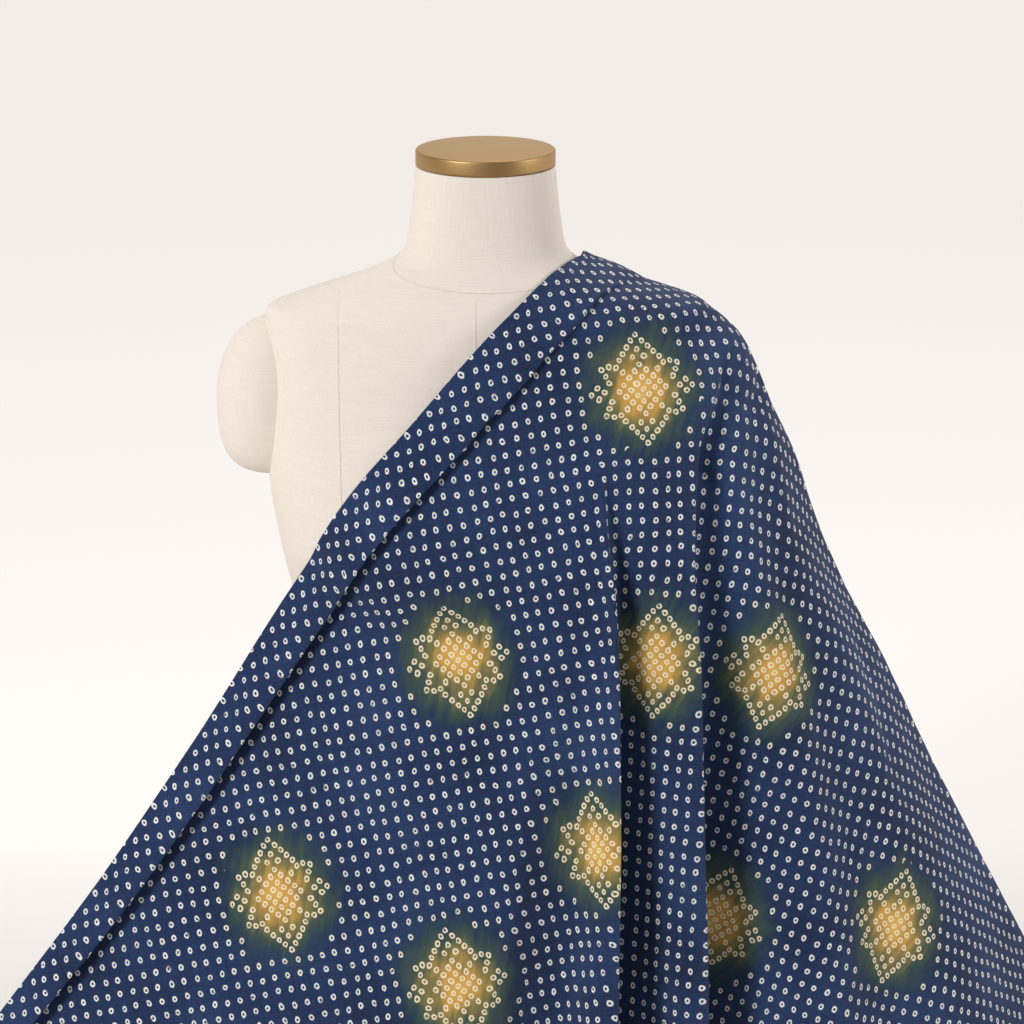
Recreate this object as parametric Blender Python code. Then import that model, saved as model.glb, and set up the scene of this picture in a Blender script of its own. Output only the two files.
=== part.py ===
"""A length of printed cotton draped over one shoulder of a plain, headless dress form.

Metres, +Z up. X runs to the viewer's right and Y away from the viewer. The origin is the middle
of the form's flat base, which stands on a table. The cloth is one sheet: it hangs from the
shoulder in front and behind, and its hem stands on the same table.
"""

import math
from collections import namedtuple

import bmesh
import bpy
import numpy as np
from mathutils import Vector
from mathutils.bvhtree import BVHTree

# The dress form
SEAM_GAP = 0.0003
NECK_TOP = 0.7447
CAP_RADIUS = 0.053
CAP_THICKNESS = 0.012
CAP_BEVEL = 0.0009
CAP_SIDES = 64
FORM_SIDES = 44
FORM_RINGS = 30
ARM_CENTRE = (0.1650, 0.004, 0.5637)
ARM_RADII = (0.0430, 0.050)
ARM_RISE, ARM_RISE_SQUARENESS = 0.0630, 2.0
ARM_FALL, ARM_FALL_SQUARENESS = 0.0580, 3.2
ARM_SIDES = 24
ARM_RINGS = 14

# The cloth
CLOTH_THICKNESS = 0.0016
CLOTH_CLEARANCE = 0.0026
CLOTH_ROWS = 27
SETTLE_PASSES = 6
SETTLE_REACH = 0.07
REST_PASSES = 3
SIDE_ROUNDNESS = 1.9
BACK_FOLDS = 3.5
BACK_FOLD_DEPTH = 0.013
BACK_FOLD_PHASE = 0.6
BACK_FULL_SHARE = 0.45

# One row for each height of the form: half its width, its depth in front and behind, and how
# square the section is (2 is an ellipse).
FormSection = namedtuple("FormSection", "height half_width front back squareness")
FORM_SECTIONS = (
    FormSection(0.000, 0.165, 0.105, 0.112, 2.2),
    FormSection(0.050, 0.172, 0.111, 0.119, 2.2),
    FormSection(0.110, 0.173, 0.112, 0.122, 2.2),
    FormSection(0.200, 0.151, 0.101, 0.106, 2.2),
    FormSection(0.300, 0.128, 0.091, 0.086, 2.2),
    FormSection(0.360, 0.137, 0.100, 0.088, 2.3),
    FormSection(0.410, 0.150, 0.117, 0.093, 2.4),
    FormSection(0.455, 0.160, 0.126, 0.098, 2.5),
    FormSection(0.507, 0.168, 0.117, 0.102, 2.5),
    FormSection(0.550, 0.170, 0.103, 0.101, 2.4),
    FormSection(0.600, 0.1705, 0.089, 0.093, 2.2),
    FormSection(0.6335, 0.1680, 0.078, 0.082, 2.0),
    FormSection(0.6450, 0.1420, 0.073, 0.076, 2.0),
    FormSection(0.6545, 0.1114, 0.068, 0.071, 2.0),
    FormSection(0.6660, 0.0807, 0.063, 0.066, 2.0),
    FormSection(0.6740, 0.0670, 0.059, 0.062, 2.0),
    FormSection(0.6850, 0.0605, 0.056, 0.058, 2.0),
    FormSection(0.7050, 0.0570, 0.054, 0.055, 2.0),
    FormSection(NECK_TOP, 0.0530, 0.053, 0.053, 2.0),
)

# The line where the front and back of the cloth meet: along the shoulder from the neck and then
# down the outer side of the arm.
CrestPoint = namedtuple("CrestPoint", "share x height")
CREST = (
    CrestPoint(0.00, 0.0757, 0.6760),
    CrestPoint(0.09, 0.0870, 0.6745),
    CrestPoint(0.33, 0.1254, 0.6545),
    CrestPoint(0.57, 0.1638, 0.6390),
    CrestPoint(0.70, 0.1825, 0.6270),
    CrestPoint(0.80, 0.1980, 0.6070),
    CrestPoint(0.90, 0.2125, 0.5770),
    CrestPoint(1.00, 0.2255, 0.5450),
)

# One row for each level of the cloth, from the shoulder (drop 0) to the table (drop 1): the free
# front edge, the fullest point in front, the right-hand side, the fullest point behind, and the
# free back edge.
ClothLevel = namedtuple("ClothLevel", "drop left_x left_y front_y right_x right_y back_y tail_x tail_y")
CLOTH_LEVELS = (
    ClothLevel(0.000, 0.0757, -0.002, 0.000, 0.2255, 0.000, 0.000, 0.0757, 0.000),
    ClothLevel(0.011, 0.0490, -0.044, -0.030, 0.229, 0.001, 0.028, 0.0735, 0.030),
    ClothLevel(0.045, 0.0170, -0.079, -0.062, 0.238, 0.003, 0.055, 0.068, 0.062),
    ClothLevel(0.132, -0.0390, -0.099, -0.094, 0.254, 0.006, 0.090, 0.055, 0.092),
    ClothLevel(0.241, -0.0960, -0.093, -0.129, 0.279, 0.009, 0.110, 0.040, 0.105),
    ClothLevel(0.355, -0.1480, -0.092, -0.145, 0.312, 0.012, 0.116, 0.022, 0.108),
    ClothLevel(0.518, -0.2180, -0.102, -0.159, 0.355, 0.015, 0.123, 0.000, 0.113),
    ClothLevel(0.688, -0.2970, -0.120, -0.173, 0.402, 0.018, 0.131, -0.025, 0.120),
    ClothLevel(0.839, -0.3750, -0.140, -0.187, 0.446, 0.020, 0.141, -0.048, 0.128),
    ClothLevel(1.000, -0.4590, -0.160, -0.200, 0.493, 0.022, 0.151, -0.070, 0.136),
)

# The fold lines of the front, from the free edge to the right-hand side. The first five sizes are
# the line's place across the front, as a share of its width at five drops. The next three are how
# far it stands out of the front, and the last is the number of steps to the next line.
FOLD_DROPS = (0.0, 0.045, 0.132, 0.355, 1.0)
FoldLine = namedtuple(
    "FoldLine", "name crest shoulder chest bust hem out_chest out_bust out_hem steps"
)
FOLD_LINES = (
    FoldLine("edge", 0.0, 0.0, 0.0, 0.0, 0.0, 0.0, 0.0, 0.0, 1),
    FoldLine("band", 0.15, 0.095, 0.069, 0.034, 0.013, 0.004, 0.005, 0.004, 2),
    FoldLine("band_crease", 0.30, 0.192, 0.139, 0.069, 0.026, 0.007, 0.009, 0.008, 1),
    FoldLine("under_band", 0.288, 0.176, 0.118, 0.050, 0.016, 0.0, -0.001, -0.004, 2),
    FoldLine("panel", 0.33, 0.240, 0.178, 0.100, 0.045, 0.0, -0.001, -0.004, 3),
    FoldLine("left_middle", 0.345, 0.30, 0.260, 0.23, 0.16, 0.0, 0.0, 0.0, 3),
    FoldLine("left_full", 0.355, 0.33, 0.310, 0.34, 0.32, 0.0, 0.0, 0.004, 2),
    FoldLine("soft_ridge", 0.365, 0.355, 0.360, 0.42, 0.465, 0.0, 0.0, 0.010, 2),
    FoldLine("valley", 0.37, 0.37, 0.385, 0.45, 0.500, 0.0, 0.0, -0.012, 1),
    FoldLine("dip", 0.38, 0.385, 0.410, 0.485, 0.540, 0.0, -0.002, -0.014, 2),
    FoldLine("flank", 0.39, 0.395, 0.430, 0.515, 0.562, 0.0, 0.001, 0.014, 2),
    FoldLine("middle_edge", 0.40, 0.405, 0.440, 0.535, 0.589, 0.0, 0.008, 0.018, 2),
    FoldLine("middle_turn", 0.41, 0.415, 0.450, 0.528, 0.537, 0.0, -0.012, -0.026, 2),
    FoldLine("middle_deep", 0.42, 0.425, 0.460, 0.543, 0.566, 0.0, -0.020, -0.048, 2),
    FoldLine("between", 0.53, 0.50, 0.520, 0.577, 0.620, 0.0, -0.012, -0.030, 2),
    FoldLine("arm_round", 0.70, 0.62, 0.620, 0.645, 0.647, 0.002, 0.002, -0.002, 2),
    FoldLine("arm_edge", 0.775, 0.710, 0.675, 0.670, 0.661, 0.005, 0.005, -0.004, 2),
    FoldLine("arm_turn", 0.79, 0.718, 0.668, 0.652, 0.606, -0.006, -0.018, -0.046, 2),
    FoldLine("arm_deep", 0.81, 0.730, 0.686, 0.675, 0.632, -0.010, -0.028, -0.068, 2),
    FoldLine("shade", 0.83, 0.752, 0.725, 0.72, 0.690, -0.006, -0.021, -0.046, 2),
    FoldLine("right_slope", 0.85, 0.775, 0.765, 0.775, 0.735, 0.0, -0.004, -0.014, 2),
    FoldLine("right_ridge", 0.87, 0.80, 0.800, 0.82, 0.785, 0.003, 0.006, 0.006, 2),
    FoldLine("right_groove", 0.90, 0.84, 0.845, 0.86, 0.830, 0.0, -0.004, -0.012, 2),
    FoldLine("right_full", 0.94, 0.92, 0.920, 0.93, 0.905, 0.0, 0.0, 0.002, 3),
    FoldLine("side", 1.0, 1.0, 1.0, 1.0, 1.0, 0.0, 0.0, 0.0, 0),
)
FULLEST_LINE = "middle_edge"

# Finishes: base colour, roughness and metallic value
LINEN = ("linen", (0.78, 0.74, 0.68, 1.0), 0.9, 0.0)
BRASS = ("brushed_brass", (0.52, 0.36, 0.16, 1.0), 0.35, 1.0)
COTTON = ("indigo_cotton", (0.025, 0.055, 0.15, 1.0), 0.85, 0.0)


def clear_scene():
    for obj in list(bpy.data.objects):
        bpy.data.objects.remove(obj, do_unlink=True)


def finish(name, colour, roughness, metallic):
    material = bpy.data.materials.new(name)
    material.use_nodes = True
    shader = material.node_tree.nodes["Principled BSDF"]
    shader.inputs["Base Color"].default_value = colour
    shader.inputs["Roughness"].default_value = roughness
    shader.inputs["Metallic"].default_value = metallic
    return material


def add_object(name, mesh_data, material):
    mesh_data.materials.append(material)
    obj = bpy.data.objects.new(name, mesh_data)
    bpy.context.scene.collection.objects.link(obj)
    return obj


def mesh_from(name, points, faces):
    mesh = bpy.data.meshes.new(name)
    mesh.from_pydata([tuple(point) for point in points], [], faces)
    mesh.shade_smooth()
    mesh.set_sharp_from_angle(angle=math.radians(40))
    return mesh


def smooth_curve(knots, values):
    """A function through the knots that never overshoots a value (a monotone cubic)."""
    knots = np.asarray(knots, float)
    values = np.asarray(values, float)
    widths = np.diff(knots)
    rises = np.diff(values) / widths
    slopes = np.empty(len(knots))
    slopes[0], slopes[-1] = rises[0], rises[-1]
    for k in range(1, len(knots) - 1):
        before, after = rises[k - 1], rises[k]
        near, far = 2 * widths[k] + widths[k - 1], widths[k] + 2 * widths[k - 1]
        same_way = before * after > 0
        slopes[k] = (near + far) / (near / before + far / after) if same_way else 0.0

    def at(place):
        place = np.clip(place, knots[0], knots[-1])
        span = np.clip(np.searchsorted(knots, place, side="right") - 1, 0, len(widths) - 1)
        width = widths[span]
        t = (place - knots[span]) / width
        return (
            values[span] * (1 + 2 * t) * (1 - t) ** 2
            + values[span + 1] * t * t * (3 - 2 * t)
            + width * slopes[span] * t * (1 - t) ** 2
            + width * slopes[span + 1] * t * t * (t - 1)
        )

    return at


def table_curves(rows, knot, spread=None):
    """One smooth curve for each column of a table, by the column's name."""
    knots = [getattr(row, knot) for row in rows]
    if spread:
        knots = [spread(value) for value in knots]
    columns = [name for name in rows[0]._fields if name not in (knot, "name")]
    return {name: smooth_curve(knots, [getattr(row, name) for row in rows]) for name in columns}


FORM = table_curves(FORM_SECTIONS, "height")
LEVEL = table_curves(CLOTH_LEVELS, "drop", math.sqrt)
CREST_LINE = table_curves(CREST, "share")


def form_ring(height, grow):
    """The points of the form's section at a height, made larger by grow all round."""
    half_width = FORM["half_width"](height) + grow
    power = 2 / FORM["squareness"](height)
    ring = []
    for k in range(FORM_SIDES):
        angle = 2 * math.pi * k / FORM_SIDES
        across, along = math.cos(angle), math.sin(angle)
        depth = FORM["back"](height) if along > 0 else FORM["front"](height)
        ring.append(
            (
                half_width * math.copysign(abs(across) ** power, across),
                (depth + grow) * math.copysign(abs(along) ** power, along),
                height,
            )
        )
    return ring


def form_heights():
    """Heights of the rings: even up the body, and close together over the shoulder."""
    body_top = 0.60
    body_rings = FORM_RINGS // 2
    body = [body_top * k / body_rings for k in range(body_rings)]
    shoulder_rings = FORM_RINGS - body_rings
    step = (NECK_TOP - body_top) / shoulder_rings
    return body + [body_top + step * k for k in range(shoulder_rings + 1)]


def form_shell(grow=0.0):
    """Points and faces of the form's closed body, made larger by grow all round."""
    heights = form_heights()
    points = [point for height in heights for point in form_ring(height, grow)]
    faces = []
    for level in range(len(heights) - 1):
        low = level * FORM_SIDES
        for k in range(FORM_SIDES):
            after = (k + 1) % FORM_SIDES
            high = low + FORM_SIDES
            faces.append((low + k, low + after, high + after))
            faces.append((low + k, high + after, high + k))
    top = (len(heights) - 1) * FORM_SIDES
    faces.append(tuple(reversed(range(FORM_SIDES))))
    faces.append(tuple(range(top, top + FORM_SIDES)))
    return points, faces


def arm_shell(side):
    """Points and faces of the rounded arm stump, before it is cut to the form's side."""
    shell = bmesh.new()
    bmesh.ops.create_uvsphere(shell, u_segments=ARM_SIDES, v_segments=ARM_RINGS, radius=1.0)
    centre_x, centre_y, centre_z = ARM_CENTRE
    radius_x, radius_y = ARM_RADII
    for vertex in shell.verts:
        upper = vertex.co.z > 0
        power = 2 / (ARM_RISE_SQUARENESS if upper else ARM_FALL_SQUARENESS)
        across = math.hypot(vertex.co.x, vertex.co.y)
        fuller = across ** (power - 1) if across else 0.0
        height = math.copysign(abs(vertex.co.z) ** power, vertex.co.z)
        vertex.co = (
            side * centre_x + radius_x * fuller * vertex.co.x,
            centre_y + radius_y * fuller * vertex.co.y,
            centre_z + (ARM_RISE if upper else ARM_FALL) * height,
        )
    points = [tuple(vertex.co) for vertex in shell.verts]
    faces = [tuple(vertex.index for vertex in face.verts) for face in shell.faces]
    shell.free()
    return points, faces


def build_form(linen):
    return add_object("form_body", mesh_from("form_body", *form_shell()), linen)


def build_arm(name, side, linen):
    """An arm stump whose inner face follows the form's side, a seam's gap away from it."""
    arm = add_object(name, mesh_from(name, *arm_shell(side)), linen)
    cutter_name = name + "_cutter"
    cutter = add_object(cutter_name, mesh_from(cutter_name, *form_shell(SEAM_GAP)), linen)
    cutter.hide_render = True
    cutter.display_type = "WIRE"
    cut = arm.modifiers.new("armhole", "BOOLEAN")
    cut.operation = "DIFFERENCE"
    cut.object = cutter
    return arm


def build_neck_cap(brass):
    """The round metal plate that closes the neck."""
    shell = bmesh.new()
    bmesh.ops.create_cone(
        shell,
        cap_ends=True,
        segments=CAP_SIDES,
        radius1=CAP_RADIUS,
        radius2=CAP_RADIUS,
        depth=CAP_THICKNESS,
    )
    middle = NECK_TOP + SEAM_GAP + CAP_THICKNESS / 2
    bmesh.ops.translate(shell, verts=shell.verts, vec=(0.0, 0.0, middle))
    rims = [edge for edge in shell.edges if abs(edge.verts[0].co.z - edge.verts[1].co.z) < 1e-6]
    bmesh.ops.bevel(shell, geom=rims, offset=CAP_BEVEL, segments=2, affect="EDGES", profile=0.5)
    mesh = bpy.data.meshes.new("neck_cap")
    shell.to_mesh(mesh)
    shell.free()
    mesh.shade_smooth()
    mesh.set_sharp_from_angle(angle=math.radians(40))
    return add_object("neck_cap", mesh, brass)


def fold_curves(line):
    """A fold line's share of the front's width, and how far it stands out, by the drop's root."""
    roots = [math.sqrt(drop) for drop in FOLD_DROPS]
    share = smooth_curve(roots, (line.crest, line.shoulder, line.chest, line.bust, line.hem))
    out = smooth_curve(
        (0.0, roots[2], roots[3], roots[4]), (0.0, line.out_chest, line.out_bust, line.out_hem)
    )
    return share, out


def front_points(root):
    """The points where the fold lines cross the front of the cloth at one level."""
    drop = root * root
    left_x, right_x = LEVEL["left_x"](root), LEVEL["right_x"](root)
    left_y, right_y = LEVEL["left_y"](root), LEVEL["right_y"](root)
    front_y = LEVEL["front_y"](root)
    fullest = next(line for line in FOLD_LINES if line.name == FULLEST_LINE)
    full_share = fold_curves(fullest)[0](root)
    points = []
    for line in FOLD_LINES:
        share_curve, out_curve = fold_curves(line)
        share = share_curve(root)
        if share < full_share:
            depth = left_y + (front_y - left_y) * share / full_share
        else:
            past = min(1.0, (share - full_share) / (1 - full_share))
            bulge = (1 - past**SIDE_ROUNDNESS) ** (1 / SIDE_ROUNDNESS)
            depth = right_y + (front_y - right_y) * bulge
        height = CREST_LINE["height"](line.crest) * (1 - drop)
        across = left_x + (right_x - left_x) * share
        if drop == 0:
            across = CREST_LINE["x"](line.crest)
        points.append((across, depth - out_curve(root), height))
    return np.array(points)


def through(points, steps):
    """A centripetal Catmull-Rom curve through the points, with that many steps in each span."""
    padded = np.vstack([2 * points[0] - points[1], points, 2 * points[-1] - points[-2]])
    curve = []
    for k, count in enumerate(steps):
        a, b, c, d = padded[k : k + 4]
        near = max(np.linalg.norm(b - a), 1e-6) ** 0.5
        span = max(np.linalg.norm(c - b), 1e-6) ** 0.5
        far = max(np.linalg.norm(d - c), 1e-6) ** 0.5
        leaving = (b - a) / near - (c - a) / (near + span) + (c - b) / span
        arriving = (c - b) / span - (d - b) / (span + far) + (d - c) / far
        leaving, arriving = leaving * span, arriving * span
        for step in range(count):
            t = step / count
            curve.append(
                (2 * t**3 - 3 * t**2 + 1) * b
                + (t**3 - 2 * t**2 + t) * leaving
                + (3 * t**2 - 2 * t**3) * c
                + (t**3 - t**2) * arriving
            )
    curve.append(points[-1])
    return np.array(curve)


def column_values(values):
    """A value for each column of the front, from one for each fold line."""
    spans = [
        before + (after - before) * np.arange(line.steps) / line.steps
        for line, before, after in zip(FOLD_LINES, values, values[1:])
    ]
    return np.concatenate(spans + [[values[-1]]])


def back_points(root, crest):
    """The back of the cloth at one level, a point for each column of the front."""
    drop = root * root
    even = np.linspace(0.0, 1.0, len(crest))
    blend = min(1.0, drop / 0.3)
    share = crest + (even - crest) * blend
    tail_x, right_x = LEVEL["tail_x"](root), LEVEL["right_x"](root)
    tail_y, right_y = LEVEL["tail_y"](root), LEVEL["right_y"](root)
    back_y = LEVEL["back_y"](root)
    past = np.clip((share - BACK_FULL_SHARE) / (1 - BACK_FULL_SHARE), 0.0, 1.0)
    bulge = (1 - past**SIDE_ROUNDNESS) ** (1 / SIDE_ROUNDNESS)
    near_tail = np.clip(1 - share / BACK_FULL_SHARE, 0.0, 1.0)
    depth = right_y + (back_y + (tail_y - back_y) * near_tail - right_y) * bulge
    wave = np.sin(2 * math.pi * BACK_FOLDS * share + BACK_FOLD_PHASE)
    depth = depth + BACK_FOLD_DEPTH * drop * wave * np.sin(math.pi * np.clip(share, 0, 1)) ** 0.5
    height = CREST_LINE["height"](crest) * (1 - drop)
    across = tail_x + (right_x - tail_x) * share
    return np.column_stack([across, depth, height])


def cloth_sheet(rows):
    """Points, faces, hem and lifts of the cloth's middle surface, before it is rested.

    Column by column, the front runs from the free edge to the side, and the back returns. Both
    start at the crest, so the first row of the front is the first row of the back too. A point's
    lift is how much further than the rest it stays off the form, where a fold stands out.
    """
    steps = [line.steps for line in FOLD_LINES[:-1]]
    roots = np.arange(rows + 1) / rows
    front = np.array([through(front_points(root), steps) for root in roots])
    crest = column_values([line.crest for line in FOLD_LINES])
    back = np.array([back_points(root, crest) for root in roots])
    across = front.shape[1]
    front_index = np.arange((rows + 1) * across).reshape(rows + 1, across)
    back_index = np.empty_like(front_index)
    back_index[0] = front_index[0]
    back_index[:, -1] = front_index[:, -1]
    own = front_index.size + np.arange(rows * (across - 1)).reshape(rows, across - 1)
    back_index[1:, :-1] = own
    points = np.vstack([front.reshape(-1, 3), back[1:, :-1].reshape(-1, 3)])
    faces = []
    for j in range(rows):
        for i in range(across - 1):
            a, b = front_index[j, i], front_index[j + 1, i]
            faces.append((a, b, front_index[j + 1, i + 1], front_index[j, i + 1]))
            a, b = back_index[j, i], back_index[j, i + 1]
            faces.append((a, b, back_index[j + 1, i + 1], back_index[j + 1, i]))
    hem = np.concatenate([front_index[-1], back_index[-1, :-1]])
    outs = [fold_curves(line)[1] for line in FOLD_LINES]
    lifts = np.zeros(len(points))
    for row, root in zip(front_index, roots):
        lifts[row] = np.maximum(column_values([out(root) for out in outs]), 0.0)
    return points, [tuple(int(k) for k in face) for face in faces], hem, lifts


def neighbour_pairs(faces):
    """The sheet's edges, each once, as two arrays of point numbers."""
    pairs = set()
    for face in faces:
        for k, start in enumerate(face):
            end = face[(k + 1) % len(face)]
            pairs.add((min(start, end), max(start, end)))
    return np.array(sorted(pairs)).T


def body_trees():
    """The surfaces that the cloth rests on."""
    shells = [form_shell(), arm_shell(1)]
    return [BVHTree.FromPolygons(points, faces) for points, faces in shells]


def kept_clear(points, trees, clearances):
    """Moves each point that is inside the form, or too near it, out along the form's surface."""
    moved = points.copy()
    for k, clearance in enumerate(clearances):
        place = Vector(points[k])
        for tree in trees:
            near, normal, _, distance = tree.find_nearest(place)
            inside = (place - near).dot(normal) < 0
            if inside or distance < clearance:
                place = near + normal * clearance
        moved[k] = place
    return moved


def faces_kept_clear(points, faces, trees, clearance):
    """Moves the corners of each face whose middle or whose sides come too near the form."""
    corners = np.array(faces)
    middles = [points[corners].mean(axis=1)]
    middles += [(points[corners[:, k]] + points[corners[:, (k + 1) % 4]]) / 2 for k in range(4)]
    moves = np.zeros_like(points)
    for places in middles:
        shifts = kept_clear(places, trees, np.full(len(places), clearance)) - places
        sizes = np.linalg.norm(shifts, axis=1)
        for face in np.nonzero(sizes)[0]:
            for corner in corners[face]:
                if sizes[face] > np.linalg.norm(moves[corner]):
                    moves[corner] = shifts[face]
    return points + moves


def settled(points, faces, hem, lifts, trees):
    """Rests the sheet on the form and eases it over the shoulder."""
    start, end = neighbour_pairs(faces)
    count = np.bincount(np.concatenate([start, end]), minlength=len(points))
    rim = count < 4
    crest_height = CREST[0].height
    clearances = CLOTH_CLEARANCE + lifts
    points = kept_clear(points, trees, clearances)
    for _ in range(SETTLE_PASSES):
        total = np.zeros_like(points)
        np.add.at(total, start, points[end])
        np.add.at(total, end, points[start])
        mean = total / count[:, None]
        ease = np.clip((points[:, 2] - (crest_height - SETTLE_REACH)) / SETTLE_REACH, 0.0, 1.0)
        ease[rim] = 0.0
        ease[hem] = 0.0
        points = points + (mean - points) * 0.5 * ease[:, None]
        points = kept_clear(points, trees, clearances)
    for _ in range(REST_PASSES):
        points = faces_kept_clear(points, faces, trees, CLOTH_CLEARANCE)
    points[hem, 2] = 0.0
    return points


def sheet_normals(points, faces, hem):
    """The mean outward direction at each point, level along the hem so that it stands flat."""
    normals = np.zeros_like(points)
    for a, b, c, d in faces:
        turn = np.cross(points[c] - points[a], points[d] - points[b])
        for corner in (a, b, c, d):
            normals[corner] += turn
    normals[hem, 2] = 0.0
    return normals / np.linalg.norm(normals, axis=1)[:, None]


def thickened(points, faces, hem, thickness):
    """A closed solid with the sheet in its middle."""
    normals = sheet_normals(points, faces, hem)
    outer = points + normals * thickness / 2
    inner = points - normals * thickness / 2
    count = len(points)
    solid = list(faces)
    solid += [tuple(k + count for k in reversed(face)) for face in faces]
    seen = {}
    for face in faces:
        for k, start in enumerate(face):
            seen[(start, face[(k + 1) % 4])] = True
    for start, end in seen:
        if (end, start) not in seen:
            solid.append((end, start, start + count, end + count))
    return np.vstack([outer, inner]), solid


def build_cloth(cotton):
    """The draped sheet as one closed solid of even thickness."""
    points, faces, hem, lifts = cloth_sheet(CLOTH_ROWS)
    points = settled(points, faces, hem, lifts, body_trees())
    solid = thickened(points, faces, hem, CLOTH_THICKNESS)
    return add_object("cloth", mesh_from("cloth", *solid), cotton)


def main():
    clear_scene()
    linen, brass, cotton = finish(*LINEN), finish(*BRASS), finish(*COTTON)
    build_form(linen)
    build_arm("arm_left", -1, linen)
    build_arm("arm_right", 1, linen)
    build_neck_cap(brass)
    build_cloth(cotton)


main()
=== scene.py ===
"""Dresses a length of tie-dyed cotton and the plain dress form that it hangs from.

The cloth is laid out flat, printed there with rings and star medallions, and draped in the folds
that its solid has. Metres, +Z up, +X to the viewer's right and +Y away from the viewer.
"""

from __future__ import annotations

import logging
import math
from dataclasses import dataclass
from enum import Enum
from typing import Any, Callable, NamedTuple, Sequence

import bmesh
import bpy
import numpy as np
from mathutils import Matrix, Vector, noise
from mathutils.bvhtree import BVHTree

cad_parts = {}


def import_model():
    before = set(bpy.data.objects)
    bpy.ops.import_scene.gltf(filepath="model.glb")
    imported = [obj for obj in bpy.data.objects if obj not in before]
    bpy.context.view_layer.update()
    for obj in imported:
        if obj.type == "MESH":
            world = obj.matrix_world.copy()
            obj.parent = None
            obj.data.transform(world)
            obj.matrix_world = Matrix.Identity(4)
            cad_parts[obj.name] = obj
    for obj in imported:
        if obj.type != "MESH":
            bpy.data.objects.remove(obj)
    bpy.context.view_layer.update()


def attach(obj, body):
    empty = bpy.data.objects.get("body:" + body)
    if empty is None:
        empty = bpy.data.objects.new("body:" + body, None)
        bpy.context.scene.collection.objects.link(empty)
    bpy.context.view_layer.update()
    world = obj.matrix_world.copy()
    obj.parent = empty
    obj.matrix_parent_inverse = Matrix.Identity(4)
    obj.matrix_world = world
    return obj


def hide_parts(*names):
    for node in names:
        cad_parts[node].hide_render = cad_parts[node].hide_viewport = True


LOG = logging.getLogger("scene")

Curve = Callable[[Any], Any]


# Sizes that the solids share


class FormSection(NamedTuple):
    """The form's section at one height: half its width, its depths, and how square it is."""

    height: float
    half_width: float
    front: float
    back: float
    squareness: float


class CrestPoint(NamedTuple):
    """A place on the line over the shoulder where the front and back of the cloth meet."""

    share: float
    x: float
    height: float


class ClothLevel(NamedTuple):
    """The cloth's outline at one drop, from the shoulder (0) to the table (1)."""

    drop: float
    left_x: float
    left_y: float
    front_y: float
    right_x: float
    right_y: float
    back_y: float
    tail_x: float
    tail_y: float


class FoldLine(NamedTuple):
    """A fold line of the front: its share of the width at five drops, and its depth at three."""

    name: str
    crest: float
    shoulder: float
    chest: float
    bust: float
    hem: float
    out_chest: float
    out_bust: float
    out_hem: float
    steps: int


NECK_TOP = 0.7447
SEAM_GAP = 0.0003
CAP_RADIUS = 0.053
CAP_THICKNESS = 0.012
ARM_CENTRE = (0.1650, 0.004, 0.5637)
ARM_RADII = (0.0430, 0.050)
ARM_RISE, ARM_RISE_SQUARENESS = 0.0630, 2.0
ARM_FALL, ARM_FALL_SQUARENESS = 0.0580, 3.2
SIDE_ROUNDNESS = 1.9
BACK_FOLDS = 3.5
BACK_FOLD_DEPTH = 0.013
BACK_FOLD_PHASE = 0.6
BACK_FULL_SHARE = 0.45
FULLEST_LINE = "middle_edge"
FOLD_DROPS = (0.0, 0.045, 0.132, 0.355, 1.0)

FORM_SECTIONS = (
    FormSection(0.000, 0.165, 0.105, 0.112, 2.2),
    FormSection(0.050, 0.172, 0.111, 0.119, 2.2),
    FormSection(0.110, 0.173, 0.112, 0.122, 2.2),
    FormSection(0.200, 0.151, 0.101, 0.106, 2.2),
    FormSection(0.300, 0.128, 0.091, 0.086, 2.2),
    FormSection(0.360, 0.137, 0.100, 0.088, 2.3),
    FormSection(0.410, 0.150, 0.117, 0.093, 2.4),
    FormSection(0.455, 0.160, 0.126, 0.098, 2.5),
    FormSection(0.507, 0.168, 0.117, 0.102, 2.5),
    FormSection(0.550, 0.170, 0.103, 0.101, 2.4),
    FormSection(0.600, 0.1705, 0.089, 0.093, 2.2),
    FormSection(0.6335, 0.1680, 0.078, 0.082, 2.0),
    FormSection(0.6450, 0.1420, 0.073, 0.076, 2.0),
    FormSection(0.6545, 0.1114, 0.068, 0.071, 2.0),
    FormSection(0.6660, 0.0807, 0.063, 0.066, 2.0),
    FormSection(0.6740, 0.0670, 0.059, 0.062, 2.0),
    FormSection(0.6850, 0.0605, 0.056, 0.058, 2.0),
    FormSection(0.7050, 0.0570, 0.054, 0.055, 2.0),
    FormSection(NECK_TOP, 0.0530, 0.053, 0.053, 2.0),
)

CREST = (
    CrestPoint(0.00, 0.0757, 0.6760),
    CrestPoint(0.09, 0.0870, 0.6745),
    CrestPoint(0.33, 0.1254, 0.6545),
    CrestPoint(0.57, 0.1638, 0.6390),
    CrestPoint(0.70, 0.1825, 0.6270),
    CrestPoint(0.80, 0.1980, 0.6070),
    CrestPoint(0.90, 0.2125, 0.5770),
    CrestPoint(1.00, 0.2255, 0.5450),
)

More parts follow.
